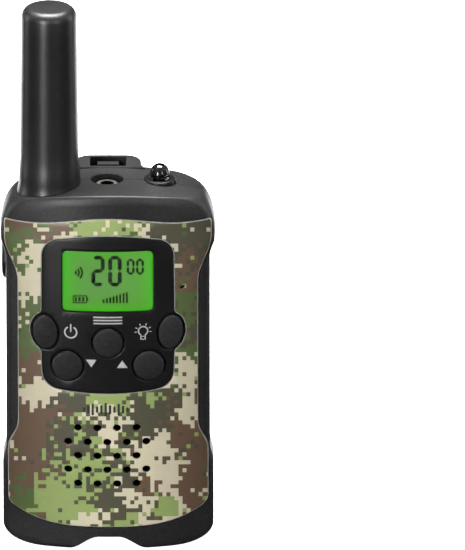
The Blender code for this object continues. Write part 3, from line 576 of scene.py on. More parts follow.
class Nodes:
    """A short way to write a material's node tree."""

    def __init__(self, name):
        self.material = bpy.data.materials.new(name)
        self.material.use_nodes = True
        self.tree = self.material.node_tree
        self.shader = self.tree.nodes["Principled BSDF"]

    def add(self, kind, **values):
        node = self.tree.nodes.new(kind)
        for key, value in values.items():
            if hasattr(node, key):
                setattr(node, key, value)
            else:
                self.put(node.inputs[key.replace("_", " ")], value)
        return node

    def put(self, socket, value):
        if isinstance(value, bpy.types.NodeSocket):
            self.tree.links.new(value, socket)
        else:
            socket.default_value = value

    def operate(self, kind, operation, inputs):
        node = self.add(kind, operation=operation)
        for socket, value in zip(node.inputs, inputs):
            self.put(socket, value)
        return node.outputs

    def math(self, operation, *inputs):
        return self.operate("ShaderNodeMath", operation, inputs)[0]

    def distance(self, a, b):
        return self.operate("ShaderNodeVectorMath", "DISTANCE", (a, b))["Value"]

    def mix(self, factor, a, b):
        node = self.add("ShaderNodeMix", data_type="RGBA", Factor=factor)
        self.put(node.inputs[6], a)
        self.put(node.inputs[7], b)
        return node.outputs[2]

    def ramp(self, value, *stops):
        node = self.tree.nodes.new("ShaderNodeValToRGB")
        elements = node.color_ramp.elements
        while len(elements) < len(stops):
            elements.new(0.5)
        for element, (position, colour) in zip(elements, stops):
            element.position = position
            element.color = (*colour, 1.0)
        self.put(node.inputs[0], value)
        return node.outputs["Color"]

    def where(self):
        return self.add("ShaderNodeTexCoord").outputs["Object"]

    def noise(self, scale, detail=2.0, vector=None, roughness=0.5, offset=0.0):
        kind, place = "ShaderNodeTexNoise", vector or self.where()
        node = self.add(kind, noise_dimensions="4D", Vector=place, Scale=scale, Detail=detail)
        self.put(node.inputs["Roughness"], roughness)
        self.put(node.inputs["W"], offset)
        return node.outputs[0]

    def bump(self, height, strength, distance):
        node = self.add("ShaderNodeBump", Height=height, Strength=strength, Distance=distance)
        self.put(self.shader.inputs["Normal"], node.outputs["Normal"])

    def set(self, **values):
        for key, value in values.items():
            self.put(self.shader.inputs[key.replace("_", " ")], value)
        return self.material


def moulded(name, dark, light, roughness, grain=1500.0, relief=0.035, strength=0.6, shine=0.45):
    """Moulded plastic: fine spark texture, slightly uneven gloss, faint cloudiness."""
    n = Nodes(name)
    fine = n.noise(grain, 3.0, roughness=0.7)
    cloud = n.noise(60.0, 2.0, offset=3.0)
    tone = n.math("ADD", n.math("MULTIPLY", fine, 0.75), n.math("MULTIPLY", cloud, 0.25))
    colour = n.ramp(tone, (0.38, dark), (0.62, light))
    rough = n.math("ADD", roughness - 0.09, n.math("MULTIPLY", cloud, 0.18))
    n.bump(fine, strength, relief * MM)
    return n.set(Base_Color=colour, Roughness=rough, IOR=1.5, Specular_IOR_Level=shine)


# The print's cell in millimetres, how much taller it is, and how its rows follow the curved front
CAMO_CELL, CAMO_TALL, CAMO_SLOPE = 1.04, 1.07, 0.384


def camouflage():
    """Five printed colours in square cells, darkened towards both sides by painted shade. In each cell
    the highest score
    wins: noise, and the nearness of the colour's own patches, given as x, z and size."""
    n = Nodes("camouflage_print_with_painted_side_shade")
    parts = n.add("ShaderNodeSeparateXYZ", Vector=n.where()).outputs
    depth = n.math("SUBTRACT", parts["Y"], OFFSET.y + FRONT_Y * MM)
    shift = 60.5 * CAMO_CELL
    across = n.math("SNAP", n.math("ADD", parts["X"], shift * MM), CAMO_CELL * MM)
    along = n.math("ADD", parts["Z"], n.math("MULTIPLY", depth, CAMO_SLOPE))
    along = n.math("SNAP", along, CAMO_CELL * CAMO_TALL * MM)
    across = n.math("MULTIPLY_ADD", across, 1000.0, -shift)
    along = n.math("MULTIPLY", along, 1000.0)
    flat = n.add("ShaderNodeCombineXYZ", X=across, Z=along).outputs[0]
    ragged = n.noise(0.6, 1.0, flat, offset=11.0)
    colours = {
        (0.076, 0.071, 0.046): (
            (9, 38, 9), (-9, 41, 5), (-10, 30, 8), (2, 12, 9), (4, 20, 5), (22, 62, 6), (22, 84, 7),
            (15, 88, 5), (-7, 19, 5),
        ),
        (0.58, 0.53, 0.38): (
            (-19, 82, 6), (-20, 73, 5), (2, 36, 6), (10, 27, 6), (14, 20, 6), (18, 8, 6), (19, 50, 5),
            (22, 38, 4), (-19, 45, 5), (13, 86, 4), (6, 14, 5), (-12, 86, 3), (0, 90, 3), (-20, 64, 3),
            (8, 8, 5), (-5, 8, 4),
        ),
        (0.26, 0.34, 0.115): (
            (0, 43, 6), (-8, 22, 7), (-10, 12, 7), (-2, 90, 6), (3, 7, 6), (-7, 32, 5), (-16, 16, 5),
            (15, 11, 4), (12, 41, 2),
        ),
        (0.085, 0.12, 0.038): (
            (-22, 86, 5), (-21, 60, 7), (-22, 70, 5), (-23, 15, 4), (20, 68, 6), (22, 56, 5),
            (-23, 9, 4),
        ),
        (0.125, 0.078, 0.049): (
            (-21, 34, 8), (-20, 25, 7), (-21, 50, 5), (-14, 88, 5), (22, 78, 6), (20, 33, 6),
            (20, 18, 6), (24, 27, 5), (-22, 90, 4), (10, 17, 4), (22, 12, 4),
        ),
    }
    best = chosen = None
    for number, (colour, patches) in enumerate(colours.items()):
        wide = n.noise(0.17, 3.0, flat, roughness=0.7, offset=7.3 * number)
        small = n.noise(0.6, 1.0, flat, offset=40.0 + 5.1 * number)
        score = n.math("ADD", n.math("MULTIPLY", wide, 1.5), n.math("MULTIPLY", small, 1.3))
        field = 0.0
        for x, z, size in patches:
            away = n.distance(flat, (x, 0, z))
            share = n.math("SUBTRACT", 1.0, n.math("DIVIDE", away, 1.9 * size))
            field = n.math("MAXIMUM", field, share)
        score = n.math("ADD", score, n.math("MULTIPLY", field, 0.6))
        if best is None:
            best, chosen = score, (*colour, 1.0)
            continue
        chosen = n.mix(n.math("GREATER_THAN", score, best), chosen, (*colour, 1.0))
        best = n.math("MAXIMUM", best, score)
    # Painted shade: the colour darkens with the square of the distance from the middle, as the curved
    # front turns from the light; the ragged noise is a random tone in the print.
    side = n.math("POWER", n.math("ABSOLUTE", n.math("DIVIDE", parts["X"], HOOD * MM)), 2.0)
    tint = n.math("ADD", 0.96, n.math("MULTIPLY", ragged, 0.12))
    tint = n.math("SUBTRACT", tint, n.math("MULTIPLY", side, 0.42))
    bright = n.add("ShaderNodeHueSaturation", Color=chosen, Value=tint).outputs[0]
    n.bump(n.noise(1400.0, 2.0), 0.25, 0.012 * MM)
    return n.set(Base_Color=bright, Roughness=0.42, Coat_Weight=0.12, Coat_Roughness=0.25, IOR=1.45)


def lens_material():
    n = Nodes("clear_lens")
    tint = n.ramp(n.noise(300.0), (0.3, (0.96, 0.99, 0.96)), (0.7, (0.98, 1.0, 0.98)))
    return n.set(Base_Color=tint, Roughness=0.0, Transmission_Weight=1.0, IOR=1.12)


def display_material():
    """Backlit green: lit from its sides, paler in the middle."""
    n = Nodes("display_light")
    parts = n.add("ShaderNodeSeparateXYZ", Vector=n.where()).outputs
    side = n.math("ABSOLUTE", n.math("DIVIDE", parts["X"], 11.7 * MM))
    up = n.math("ABSOLUTE", n.math("DIVIDE", n.math("SUBTRACT", parts["Z"], 74.6 * MM), 9.0 * MM))
    away = n.math("MAXIMUM", n.math("POWER", side, 3.0), n.math("POWER", up, 3.0))
    drift = n.noise(120.0)
    mixed = n.math("ADD", n.math("MULTIPLY", away, 0.85), n.math("MULTIPLY", drift, 0.25))
    pale, bright, deep = (0.090, 0.245, 0.045), (0.075, 0.31, 0.018), (0.04, 0.43, 0.006)
    colour = n.ramp(mixed, (0.0, pale), (0.45, bright), (1.0, deep))
    return n.set(Base_Color=(0.01, 0.02, 0.01, 1.0), Roughness=0.8, Specular_IOR_Level=0.0,
                 Emission_Color=colour, Emission_Strength=1.0)


def ink(name, dark, light, roughness, scale=700.0, shine=0.5):
    """Printed or plain surfaces whose tone drifts a little."""
    n = Nodes(name)
    tone = n.noise(scale, 2.0)
    n.bump(tone, 0.15, 0.01 * MM)
    colour = n.ramp(tone, (0.3, dark), (0.7, light))
    return n.set(Base_Color=colour, Roughness=roughness, Specular_IOR_Level=shine)


def metal(name, dark, light, roughness):
    n = Nodes(name)
    tone = n.noise(900.0, 3.0)
    cloud = n.noise(150.0, 2.0, offset=2.0)
    n.bump(tone, 0.2, 0.01 * MM)
    rough = n.math("ADD", roughness, n.math("MULTIPLY", cloud, 0.12))
    return n.set(Base_Color=n.ramp(cloud, (0.3, dark), (0.7, light)), Roughness=rough, Metallic=1.0)


def clear_dome():
    n = Nodes("lamp_dome")
    cloud = n.noise(400.0, 2.0)
    rough = n.math("MULTIPLY", cloud, 0.04)
    smoke = (0.12, 0.125, 0.125, 1.0)
    return n.set(Base_Color=smoke, Roughness=rough, Transmission_Weight=1.0, IOR=1.45)


def woven():
    n = Nodes("speaker_cloth_weave")
    kind, values = "ShaderNodeTexWave", {"Vector": n.where(), "Scale": 900.0, "Distortion": 0.4}
    waves = [n.add(kind, bands_direction=axis, **values).outputs["Fac"] for axis in ("X", "Z")]
    height = n.math("MULTIPLY", *waves)
    n.bump(height, 0.6, 0.05 * MM)
    return n.set(Base_Color=n.ramp(height, (0.0, (0.004,) * 3), (1.0, (0.02,) * 3)), Roughness=0.95)


MAT = {
    "casing": moulded("casing_texture", (0.009,) * 3, (0.020,) * 3, 0.44, 1500.0, 0.035, 0.6, 0.3),
    "aerial": moulded("aerial_texture", (0.008,) * 3, (0.015,) * 3, 0.36, 1900.0, 0.03, 0.5, 0.4),
    "panel": moulded("panel_satin", (0.006,) * 3, (0.010,) * 3, 0.32, 2200.0, 0.01, 0.3, 0.2),
    "rubber": moulded("key_rubber_grain", (0.006,) * 3, (0.014,) * 3, 0.5, 1100.0, 0.04, 0.6, 0.25),
    "camo": camouflage(),
    # A pale colour on the faceplate's rounded outer edge.
    "pale_edge": ink("pale_plate_rim", (0.27, 0.26, 0.23), (0.40, 0.39, 0.35), 0.35),
    "bead": ink("panel_bead", (0.20, 0.20, 0.19), (0.34, 0.34, 0.33), 0.3),
    "lens": lens_material(),
    "display": display_material(),
    "segments": ink("display_segments", (0.004, 0.008, 0.003), (0.008, 0.014, 0.005), 0.9, shine=0.0),
    "print": ink("panel_print", (0.34, 0.34, 0.34), (0.48, 0.48, 0.48), 0.5),
    "dark_print": ink("dark_print", (0.008, 0.009, 0.008), (0.018, 0.018, 0.018), 0.45),
    # Painted shade: a near-black colour for the walls of the jack's countersink and bore.
    "jack_recess_painted_shade": ink("unlit_recess", (0.003,) * 3, (0.006,) * 3, 0.9, shine=0.0),
    "nickel": metal("nickel_plate", (0.34, 0.32, 0.27), (0.5, 0.47, 0.41), 0.3),
    "steel": metal("plain_steel", (0.36, 0.36, 0.37), (0.58, 0.58, 0.58), 0.3),
    "copper": metal("copper_wire", (0.55, 0.26, 0.14), (0.78, 0.42, 0.26), 0.3),
    "white": ink("white_moulding", (0.66, 0.66, 0.63), (0.82, 0.82, 0.79), 0.5, 200.0),
    "board": ink("solder_mask", (0.008, 0.09, 0.02), (0.02, 0.17, 0.05), 0.35, 260.0),
    "wrap": ink("cell_sleeve", (0.02, 0.06, 0.2), (0.05, 0.12, 0.32), 0.3, 90.0),
    "cloth": woven(),
    "paper": ink("cone_paper", (0.2, 0.18, 0.15), (0.34, 0.31, 0.27), 0.9, 1500.0),
    "dome": clear_dome(),
}


def mark_faces(obj, slot_index, test):
    """Gives the faces whose centre and normal pass a test their own material slot."""
    for face in obj.data.polygons:
        if test((face.center - OFFSET) / MM, face.normal):
            face.material_index = slot_index


def small_hole_wall(centre, normal):
    """True on the walls of the grille's and the microphone's holes."""
    grille = abs(centre.x - GRILLE_X) < 12.0 and 16.0 < centre.z < 37.0
    mic = abs(centre.x - MIC[0]) < 1.2 and abs(centre.z - MIC[1]) < 1.2
    below_face = centre.y > front_y(centre.x, centre.z) + 0.2
    return (grille or mic) and abs(normal.y) < 0.5 and below_face


def paint_jack_recess_shade(obj, low, high, radius):
    """Gives the faces near the jack's axis, between two heights, the unlit material: painted shade in
    the jack's countersink and bore.
    """

    def near_axis(centre, normal):
        return low < centre.z < high and hypot(centre.x - JACK[0], centre.y - JACK[1]) < radius

    mark_faces(obj, 1, near_axis)


def finish_piece(obj, body, materials, replaces=(), angle=35.0):
    """Smooth shading with sharp creases, materials, and the piece's place among the bodies."""
    for name in materials:
        obj.data.materials.append(MAT[name])
    obj.data.shade_smooth()
    obj.data.set_sharp_from_angle(angle=radians(angle))
    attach(obj, body)
    if replaces:
        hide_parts(*replaces)
    return obj


def paint(material, *nodes):
    """A carried-over CAD node gets a node material in every one of its slots."""
    for name in nodes:
        mesh = NODES[name].data
        if not mesh.materials:
            mesh.materials.append(MAT[material])
        for index in range(len(mesh.materials)):
            mesh.materials[index] = MAT[material]


# ---------------------------------------------------------------- shells


def foot_arch(grow=0.0):
    """The shallow arch under the foot, as a cutter."""
    flat, foot = 2.6 + grow, 10.6 + grow
    steps = [i / 12.0 for i in range(13)]
    rise = [(mix(flat, foot, t), grow + 3.6 * (1.0 - smoothstep(t, 0.0, 1.0))) for t in steps]
    outline = [(-x, z) for x, z in rise[::-1]] + rise + [(foot, -2.0), (-foot, -2.0)]
    return prisms("arch", [outline], -40.0, 40.0)


def deck_cutters():
    """Holes for the aerial's neck, the jack with its rounded countersink, and the lamp's neck."""
    turns = [0.19 * t for t in range(1, 8)]
    sink = [(3.05, 90.0), (3.05, 96.3)]
    sink += [(4.15 - 1.1 * cos(t), 96.3 + 1.25 * sin(t)) for t in turns]
    sink += [(4.15, DECK_Z - 0.35), (4.45, DECK_Z + 0.02), (4.45, DECK_Z + 1.0)]
    return (
        turned("neck_hole", [(5.9, 85.0), (5.9, 101.0)], AERIAL),
        turned("jack_hole", sink, JACK),
        turned("lamp_hole", [(3.7, 85.0), (3.7, 101.0)], LAMP),
    )


def key_wells(steps):
    sizes = KEYS.values()
    return [oval(x, z, wide + WELL, high + WELL, tilt, steps) for x, z, wide, high, tilt in sizes]


def build_front_shell():
    shell = outer_casing("front_shell_body")
    cut(shell, cut(casing("room", *WALLS, 1), foot_arch(WALLS[0])))
    cut(shell, recess(inset(camo_outline(), -SEAM), SKIN + 0.2))
    window = rounded_box(12.6, 65.0, 84.5, 0.3, 2)
    cut(shell, prisms("openings", [window, mic_outline()] + key_wells(48), -30.0, 0.0))
    cut(shell, turned("speaker_opening", [(12.4, -30.0), (12.4, 0.0)], SPEAKER, "Y"))
    cut(shell, *deck_cutters())
    cut(shell, prisms("talk_hole", [talk_outline(0.3, 0.3)], -40.0, -15.0, "X"))
    for x, z in SCREWS:
        root = front_y(x, z) + 2.2
        join(shell, turned("post", [(2.1, root), (2.1, -0.15)], (x, z), "Y", 24))
        cut(shell, turned("pilot", [(1.2, -5.2), (1.2, 2.0)], (x, z), "Y", 16))
    cut(shell, foot_arch())
    cut(shell, box("behind", (-60, 60), (-SEAM / 2, 60), (-40, 180)))
    # Painted shade on the walls of the jack's countersink.
    paint_jack_recess_shade(shell, 90.0, DECK_Z - 0.4, 4.4)
    return finish_piece(shell, "handset", ["casing", "jack_recess_painted_shade"], ["front_shell"], 32.0)


def build_boss():
    """The belt clip's boss, with its top edge rounded over."""
    foot, shoulder, edge, corner = 72.0, 97.6, 0.7, 4.2

    def outline(less):
        bend = arc(8.6 - corner, 17.4 - corner, corner - less, 0.2, pi / 2.0, 10)
        half = [(9.6, 7.6), (8.8 - 0.8 * less, 9.8)] + bend
        return half + [(-x, y) for x, y in half[::-1]]

    levels = [(0.0, foot), (0.0, shoulder)]
    for k in range(1, 6):
        angle = 0.5 * pi * k / 5
        levels.append((edge * (1.0 - cos(angle)), shoulder + edge * sin(angle)))
    rings = [[(x, y, z) for x, y in outline(less)] for less, z in levels]
    return loft("boss", rings, (0.0, 10.0, foot), (0.0, 10.0, 98.3))


def rear_layers(grow):
    """The battery door's outer face, and the wider tongue that slides under the rear shell."""
    top = 62.0 + grow
    face = box("face", (-18 - grow, 18 + grow), (-20, 30), (-5, top))
    tongue = box("tongue", (-19.3 - grow, 19.3 + grow), (-20, 30), (-5 if grow else 6, top + 1.3))
    return face, tongue


def half_before(y):
    return box("before", (-60, 60), (-60, y), (-40, 180))


def build_rear_shell():
    shell = outer_casing("rear_shell_body")
    join(shell, build_boss())
    cut(shell, cut(casing("room", *WALLS, 1), foot_arch(WALLS[0])), foot_arch())
    cut(shell, half_before(SEAM / 2))
    join(shell, box("tub", (-18.1, 18.1), (-3.8, 8.6), (9.1, 61.3)))
    face, tongue = rear_layers(GAP)
    for block, depth in ((face, 1.9), (tongue, 1.95)):
        cut(block, outer_casing("under", -depth), half_before(2.0))
    keep(tongue, outer_casing("lip", -0.6))
    cut(shell, face, tongue)
    for side in (-1, 1):
        ends = sorted((17.7 * side, 19.75 * side))
        cut(shell, box("exit", ends, (7.3, 9.1), (-5, 7.2)))
    cut(shell, box("bay", (-17.2, 17.2), (-2.9, 12.0), (10.0, 60.4)))
    cut(shell, *deck_cutters())
    cut(shell, prisms("talk_hole", [talk_outline(0.3, 0.3)], -40.0, -15.0, "X"))
    cut(shell, box("channel", (-5.7, 5.7), (11.7, 14.3), (60.0, 94.0)))
    slot_outline = rounded_box(4.7, 8.9, 15.5, 0.5, 4)
    cut(shell, prisms("latch_slot", [slot_outline], 93.0, 110.0, "Z"))
    for x, z in SCREWS:
        join(shell, turned("post", [(2.1, 0.15), (2.1, 7.0)], (x, z), "Y", 24))
        bore = [(1.3, -2.0), (1.3, 3.6), (1.9, 3.6), (1.9, 20.0)]
        cut(shell, turned("bore", bore, (x, z), "Y", 24))
    # Painted shade on the walls of the jack's countersink.
    paint_jack_recess_shade(shell, 90.0, DECK_Z - 0.4, 4.4)
    return finish_piece(shell, "handset", ["casing", "jack_recess_painted_shade"], ["rear_shell"], 32.0)


def build_door():
    face, tongue = rear_layers(0.0)
    for block, outer, inner in ((face, 0.0, 1.6), (tongue, 0.9, 1.55)):
        keep(block, outer_casing("outer", -outer))
        cut(block, outer_casing("under", -inner), half_before(2.0))
    join(face, tongue)
    cut(face, foot_arch(GAP), box("below", (-40, 40), (-40, 40), (-9, 0.4)))
    rows = [10.0 + 2.2 * i for i in range(6)]
    grooves = [rounded_box(9.0 - 0.45 * i, z, z + 0.9, 0.42, 4) for i, z in enumerate(rows)]
    cut(face, cut(prisms("grooves", grooves, 2.0, 30.0), casing("under", 0.0, 0.0, 0.45, 0.0, 2)))
    face.name = "battery_door_cover"
    return finish_piece(face, "battery_door", ["casing"], ["battery_door"], 32.0)


# ---------------------------------------------------------------- front


def build_faceplate():
    holes = [inset(panel_outline(), -SEAM)] + grille_outlines() + [mic_outline()]
    plate = curved_sheet("camouflage_plate", camo_outline(), holes, SKIN, 0.22)
    mark_faces(plate, 2, small_hole_wall)
    slots = ["camo", "pale_edge", "panel"]
    return finish_piece(plate, "handset", slots, ["camo_faceplate"], 40.0)


def window_outline(grow):
    half, low, high, corner = WINDOW
    return softened(rounded_box(half + grow, low - grow, high + grow, corner), 0.35, 2)


def build_panel():
    holes = [window_outline(0.06)] + key_wells(64)
    panel = curved_sheet("control_panel_plate", panel_outline(), holes, SKIN, 0.32, edge_steps=4)
    finish_piece(panel, "handset", ["panel", "panel"], ["control_panel"], 40.0)
    route = [(x, surface_y(x, z) + 0.06, z) for x, z in inset(panel_outline(), -0.07)]
    bead = tube("panel_bead", route, 0.11)
    finish_piece(bead, "handset", ["bead"], angle=180.0)


def build_lens():
    lens = curved_sheet("display_lens_plate", window_outline(0.0), [], 0.9, 0.1, edge_steps=2)
    # The lens's rounded edge takes the black panel material: a painted shadow round the display's
    # green.
    return finish_piece(lens, "handset", ["lens", "panel"], ["display_lens"], 40.0)


def build_key(name):
    """A dished cap with a rounded edge, and the flange that keeps it behind the panel."""
    x, z, wide, high, tilt = KEYS[name]
    front = front_y(x, z)
    flange = front_y(abs(x) + wide, z) + 3.5
    stations = []
    for k in range(1, 9):
        t = k / 8.0
        stations.append((0.9 * t, front - 0.8 + 0.14 * t ** 2.0))
    for k in range(1, 7):
        angle = 0.5 * pi * k / 6
        stations.append((0.9 + 0.1 * sin(angle), front - 0.66 + 0.5 * (1.0 - cos(angle))))
    stations += [(1.0, front + 0.3), (1.0, flange), (1.16, flange), (1.16, flange + 0.5)]
    stations += [(0.5, flange + 0.5), (0.5, max(-7.45, flange + 0.55))]
    rings = [[(a, y, b) for a, b in oval(x, z, wide * s, high * s, tilt, 64)] for s, y in stations]
    key = loft(name + "_cap", rings, (x, front - 0.8, z), (x, stations[-1][1], z))
    return finish_piece(key, name, ["rubber"], [name], 40.0)


def build_talk_key():
    """A domed cap with ribs, and its flange inside the case."""
    crown = [[(-22.9, y, z) for y, z in talk_outline(0.0, 0.0)]]
    for k in range(9):
        angle = 0.5 * pi * k / 8
        shrink = 1.5 * (1.0 - cos(angle))
        crown.append([(-26.5 - sin(angle), y, z) for y, z in talk_outline(-shrink, -1.3 * shrink)])
    cap = loft("talk_key_cap", crown, (-22.9, *TALK), (-27.5, *TALK))
    join(cap, prisms("flange", [talk_outline(0.35, 1.1)], -23.6, -22.89, "X"))
    ribs = [rounded_box(2.1, z - 0.25, z + 0.25, 0.24, 3) for z in (73.9, 75.4, 76.9, 78.4, 79.9)]
    ribs = [[(y + TALK[0], z) for y, z in rib] for rib in ribs]
    cut(cap, prisms("ribs", ribs, -29.0, -27.22, "X"))
    return finish_piece(cap, "ptt_button", ["panel"], ["ptt_button"], 32.0)


def flat_print(name, outlines, material):
    """Thin ink printed on the casing's front."""
    parts = [curved_sheet(name, outline, [], 0.08, 0.01, 0.05, 1.5, 1) for outline in outlines]
    merged = bmesh.new()
    for part in parts:
        merged.from_mesh(part.data)
    merged.to_mesh(parts[0].data)
    merged.free()
    for part in parts[1:]:
        bpy.data.objects.remove(part)
    parts[0].name = name
    return finish_piece(parts[0], "handset", [material, material], angle=40.0)


def stroke(x0, z0, x1, z1, half):
    """A straight bar with round ends, as an outline."""
    start, end = Vector((x0, z0)), Vector((x1, z1))
    turn = atan2(end.y - start.y, end.x - start.x)
    outline = arc(end.x, end.y, half, turn - pi / 2, turn + pi / 2, 6)
    return outline + arc(start.x, start.y, half, turn + pi / 2, turn + 1.5 * pi, 6)


def ring_arc(x, z, radius, half, start, end, steps=28):
    outer = arc(x, z, radius + half, radians(start), radians(end), steps)
    return outer + arc(x, z, radius - half, radians(end), radians(start), steps)


def build_prints():
    """The power and lamp symbols, three lines, two arrows, and a row of sound bars."""
    marks = [ring_arc(-9.6, 60.9, 1.55, 0.19, 118.0, 422.0), stroke(-9.6, 61.1, -9.6, 63.0, 0.17)]
    x, z = 9.1, 61.3
    marks.append(ring_arc(x, z, 1.2, 0.17, -62.0, 242.0))
    for dx in (-0.55, 0.55):
        marks.append(stroke(x + dx, z - 1.15, x + dx, z - 2.3, 0.15))
    for dz, half in ((-1.5, 0.12), (-2.33, 0.13)):
        marks.append(stroke(x - 0.2, z + dz, x + 0.2, z + dz, half))
    for angle in (-8, 26, 66, 114, 154, 188):
        a, b = cos(radians(angle)), sin(radians(angle))
        marks.append(stroke(x + 1.75 * a, z + 1.75 * b, x + 2.1 * a, z + 2.1 * b, 0.13))
    marks += [stroke(-3.6, 63.55 + 0.85 * k, 3.6, 63.55 + 0.85 * k, 0.18) for k in range(3)]
    marks += [[(-5.7, 53.5), (-4.3, 51.4), (-2.9, 53.5)], [(2.3, 51.2), (5.1, 51.2), (3.7, 53.3)]]
    flat_print("panel_symbols", marks, "print")
    bars = []
    for k, half in enumerate((0.3, 0.8, 1.35, 0.6, 1.0, 1.6, 1.0, 0.6, 1.35, 0.8, 0.3)):
        bars.append(stroke(-6.2 + 1.12 * k, 39.6 - half, -6.2 + 1.12 * k, 39.6 + half, 0.3))
    flat_print("sound_bars_print", bars, "dark_print")


SEGMENTS = {"2": "abged", "0": "abcdef"}
DIGITS = (
    ("2", -3.72, -1.3, 73.35, 80.75, 0.52),
    ("0", 0.62, 3.07, 73.35, 80.75, 0.52),
    ("0", 5.2, 6.6, 76.4, 80.1, 0.33),
    ("0", 7.6, 9.0, 76.4, 80.1, 0.33),
)


def digit(symbol, x0, x1, z0, z1, half):
    """A seven-segment figure as bars with pointed ends."""
    mid = 0.5 * (z0 + z1)
    gap = 0.06
    across = {"a": z1, "g": mid, "d": z0}
    upright = {"f": (x0, mid, z1), "e": (x0, z0, mid), "b": (x1, mid, z1), "c": (x1, z0, mid)}
    outlines = []
    for letter in SEGMENTS[symbol]:
        if letter in across:
            z = across[letter]
            a, b = x0 + gap, x1 - gap
            outlines.append([(a, z), (a + half, z - half), (b - half, z - half), (b, z),
                             (b - half, z + half), (a + half, z + half)])
        else:
            x, low, high = upright[letter]
            low, high = low + gap, high - gap
            outlines.append([(x, low), (x + half, low + half), (x + half, high - half), (x, high),
                             (x - half, high - half), (x - half, low + half)])
    return outlines


def build_display():
    """The glass behind the lens, with its digits, strength bars, cell sign and a small wave."""
    glass = box("display_panel", (-12.35, 12.35), (-11.6, -10.1), (65.25, 84.3))
    finish_piece(glass, "handset", ["display"], ["lcd_glass"])
    outlines = [bar for figure in DIGITS for bar in digit(*figure)]
    for k in range(8):
        x = -1.1 + 0.86 * k
        outlines.append(rectangle((x - 0.24, x + 0.24), (68.2, 69.0 + 0.28 * k + 0.2)))
    cell = rectangle((-8.9, -5.5), (68.3, 70.2))
    outlines += [stroke(*a, *b, 0.14) for a, b in zip(cell, cell[1:] + cell[:1])]
    for k in range(3):
        outlines.append(rectangle((-8.55 + 0.95 * k, -7.95 + 0.95 * k), (68.65, 69.85)))
    outlines.append(rectangle((-5.4, -5.05), (68.8, 69.7)))
    outlines += [ring_arc(-8.9, 76.6, radius, 0.24, -42.0, 42.0, 8) for radius in (0.7, 1.5, 2.3)]
    marks = prisms("display_marks", outlines, -11.72, -11.62)
    finish_piece(marks, "handset", ["segments"])


# ---------------------------------------------------------------- top


def build_aerial():
    """The sleeve with its flared foot and rounded tip, and the fine moulding line over it."""
    foot, foot_top, flare = 8.5, 95.6, 7.93
    low, low_z, high, high_z, tip = 7.54, 106.1, 7.07, 143.8, 2.5
    profile = [(foot, 91.0), (foot, foot_top)]
    for k in range(1, 11):
        t = k / 10.0
        profile.append((foot - (foot - flare) * (1.0 - (1.0 - t) ** 2.2), mix(foot_top, 99.6, t)))
    profile += [(7.91, 100.8), (7.84, 102.0), (7.7, 103.4), (7.59, 104.8), (low, low_z)]
    for k in range(1, 9):
        profile.append((mix(low, high, k / 9.0), mix(low_z, high_z, k / 9.0)))
    profile += arc(high - tip, high_z, tip, 0.0, pi / 2.0, 10)
    cover = turned("aerial_sleeve", profile, AERIAL, steps=96)
    cut(cover, moved(outer_casing("deck"), 0.0, 0.0, SEAM))
    join(cover, turned("neck", [(5.6, 92.0), (5.6, 103.0)], AERIAL))
    cut(cover, turned("bore", [(4.4, 80.0), (4.4, 142.5)], AERIAL, steps=32))
    finish_piece(cover, "handset", ["aerial"], ["antenna_cover"], 32.0)
    centre, crown = AERIAL[0], 146.24
    heights = [mix(106.6, 143.6, k / 29.0) for k in range(30)]
    right = [(mix(low, high, (z - low_z) / (high_z - low_z)), z) for z in heights]
    right += [(x, min(z, crown)) for x, z in arc(high - tip, high_z, tip, 0.0, pi / 2.0, 10)]
    across = [(4.0 - k, crown) for k in range(9)]
    left = [(-x, z) for x, z in right[::-1]]
    route = [(centre + x, AERIAL[1], z) for x, z in right + across + left]
    flash = tube("aerial_flash_line", route, 0.05, closed=False)
    finish_piece(flash, "handset", ["aerial"], angle=180.0)


def rounded_top(radius, top, edge, turns):
    """The profile of an outer edge rounded over at the top."""
    low = top - edge
    return [(radius - edge * (1 - cos(t)), low + edge * sin(t)) for t in turns]


def build_jack():
    top = DECK_Z - 1.3
    outside = [(2.9, 93.8), (2.9, top - 0.35)] + rounded_top(2.9, top, 0.35, (0.5, 1.0, 1.57))
    inside = [(1.75, top), (1.6, top - 0.15), (1.6, 93.8)]
    ring = turned("jack_ring", outside + inside, JACK, ring=True)
    # Painted shade inside the ring's bore.
    paint_jack_recess_shade(ring, 93.0, top - 0.01, 1.7)
    finish_piece(ring, "handset", ["nickel", "jack_recess_painted_shade"], ["jack_bushing"], 40.0)


def build_lamp():
    """The black ring, the clear dome and its reflector."""
    profile = [(4.2, 92.0), (4.2, 97.75)] + rounded_top(4.2, 98.2, 0.45, (0.4, 0.8, 1.2, 1.57))
    profile += [(3.3, 98.2), (3.1, 98.1), (2.0, 98.1), (2.0, 92.0)]
    ring = turned("lamp_ring", profile, LAMP, ring=True)
    cut(ring, moved(outer_casing("deck"), 0.0, 0.0, SEAM))
    join(ring, turned("neck", [(3.4, 94.0), (3.4, 98.0)], LAMP))
    cut(ring, turned("bore", [(2.75, 80.0), (2.75, 110.0)], LAMP))
    finish_piece(ring, "handset", ["panel"], ["led_bezel"], 32.0)
    dome = [(2.9, 91.6), (2.9, 92.5), (2.5, 92.6)] + arc(0.0, 99.6, 2.5, 0.0, 0.5 * pi, 14)[:-1]
    lens = turned("lamp_dome_lens", dome, LAMP, steps=48)
    hollow = [(0.9, 92.8), (1.9, 97.6), (1.9, 97.9), (0.4, 97.9)]
    cut(lens, turned("cup_room", hollow, LAMP, steps=32))
    finish_piece(lens, "handset", ["dome"], ["led_lamp"], 32.0)
    cone = [(0.8, 92.9), (1.75, 97.4), (1.6, 97.4), (0.75, 95.6)]
    cup = turned("lamp_reflector", cone, LAMP, steps=32)
    finish_piece(cup, "handset", ["steel"], angle=32.0)


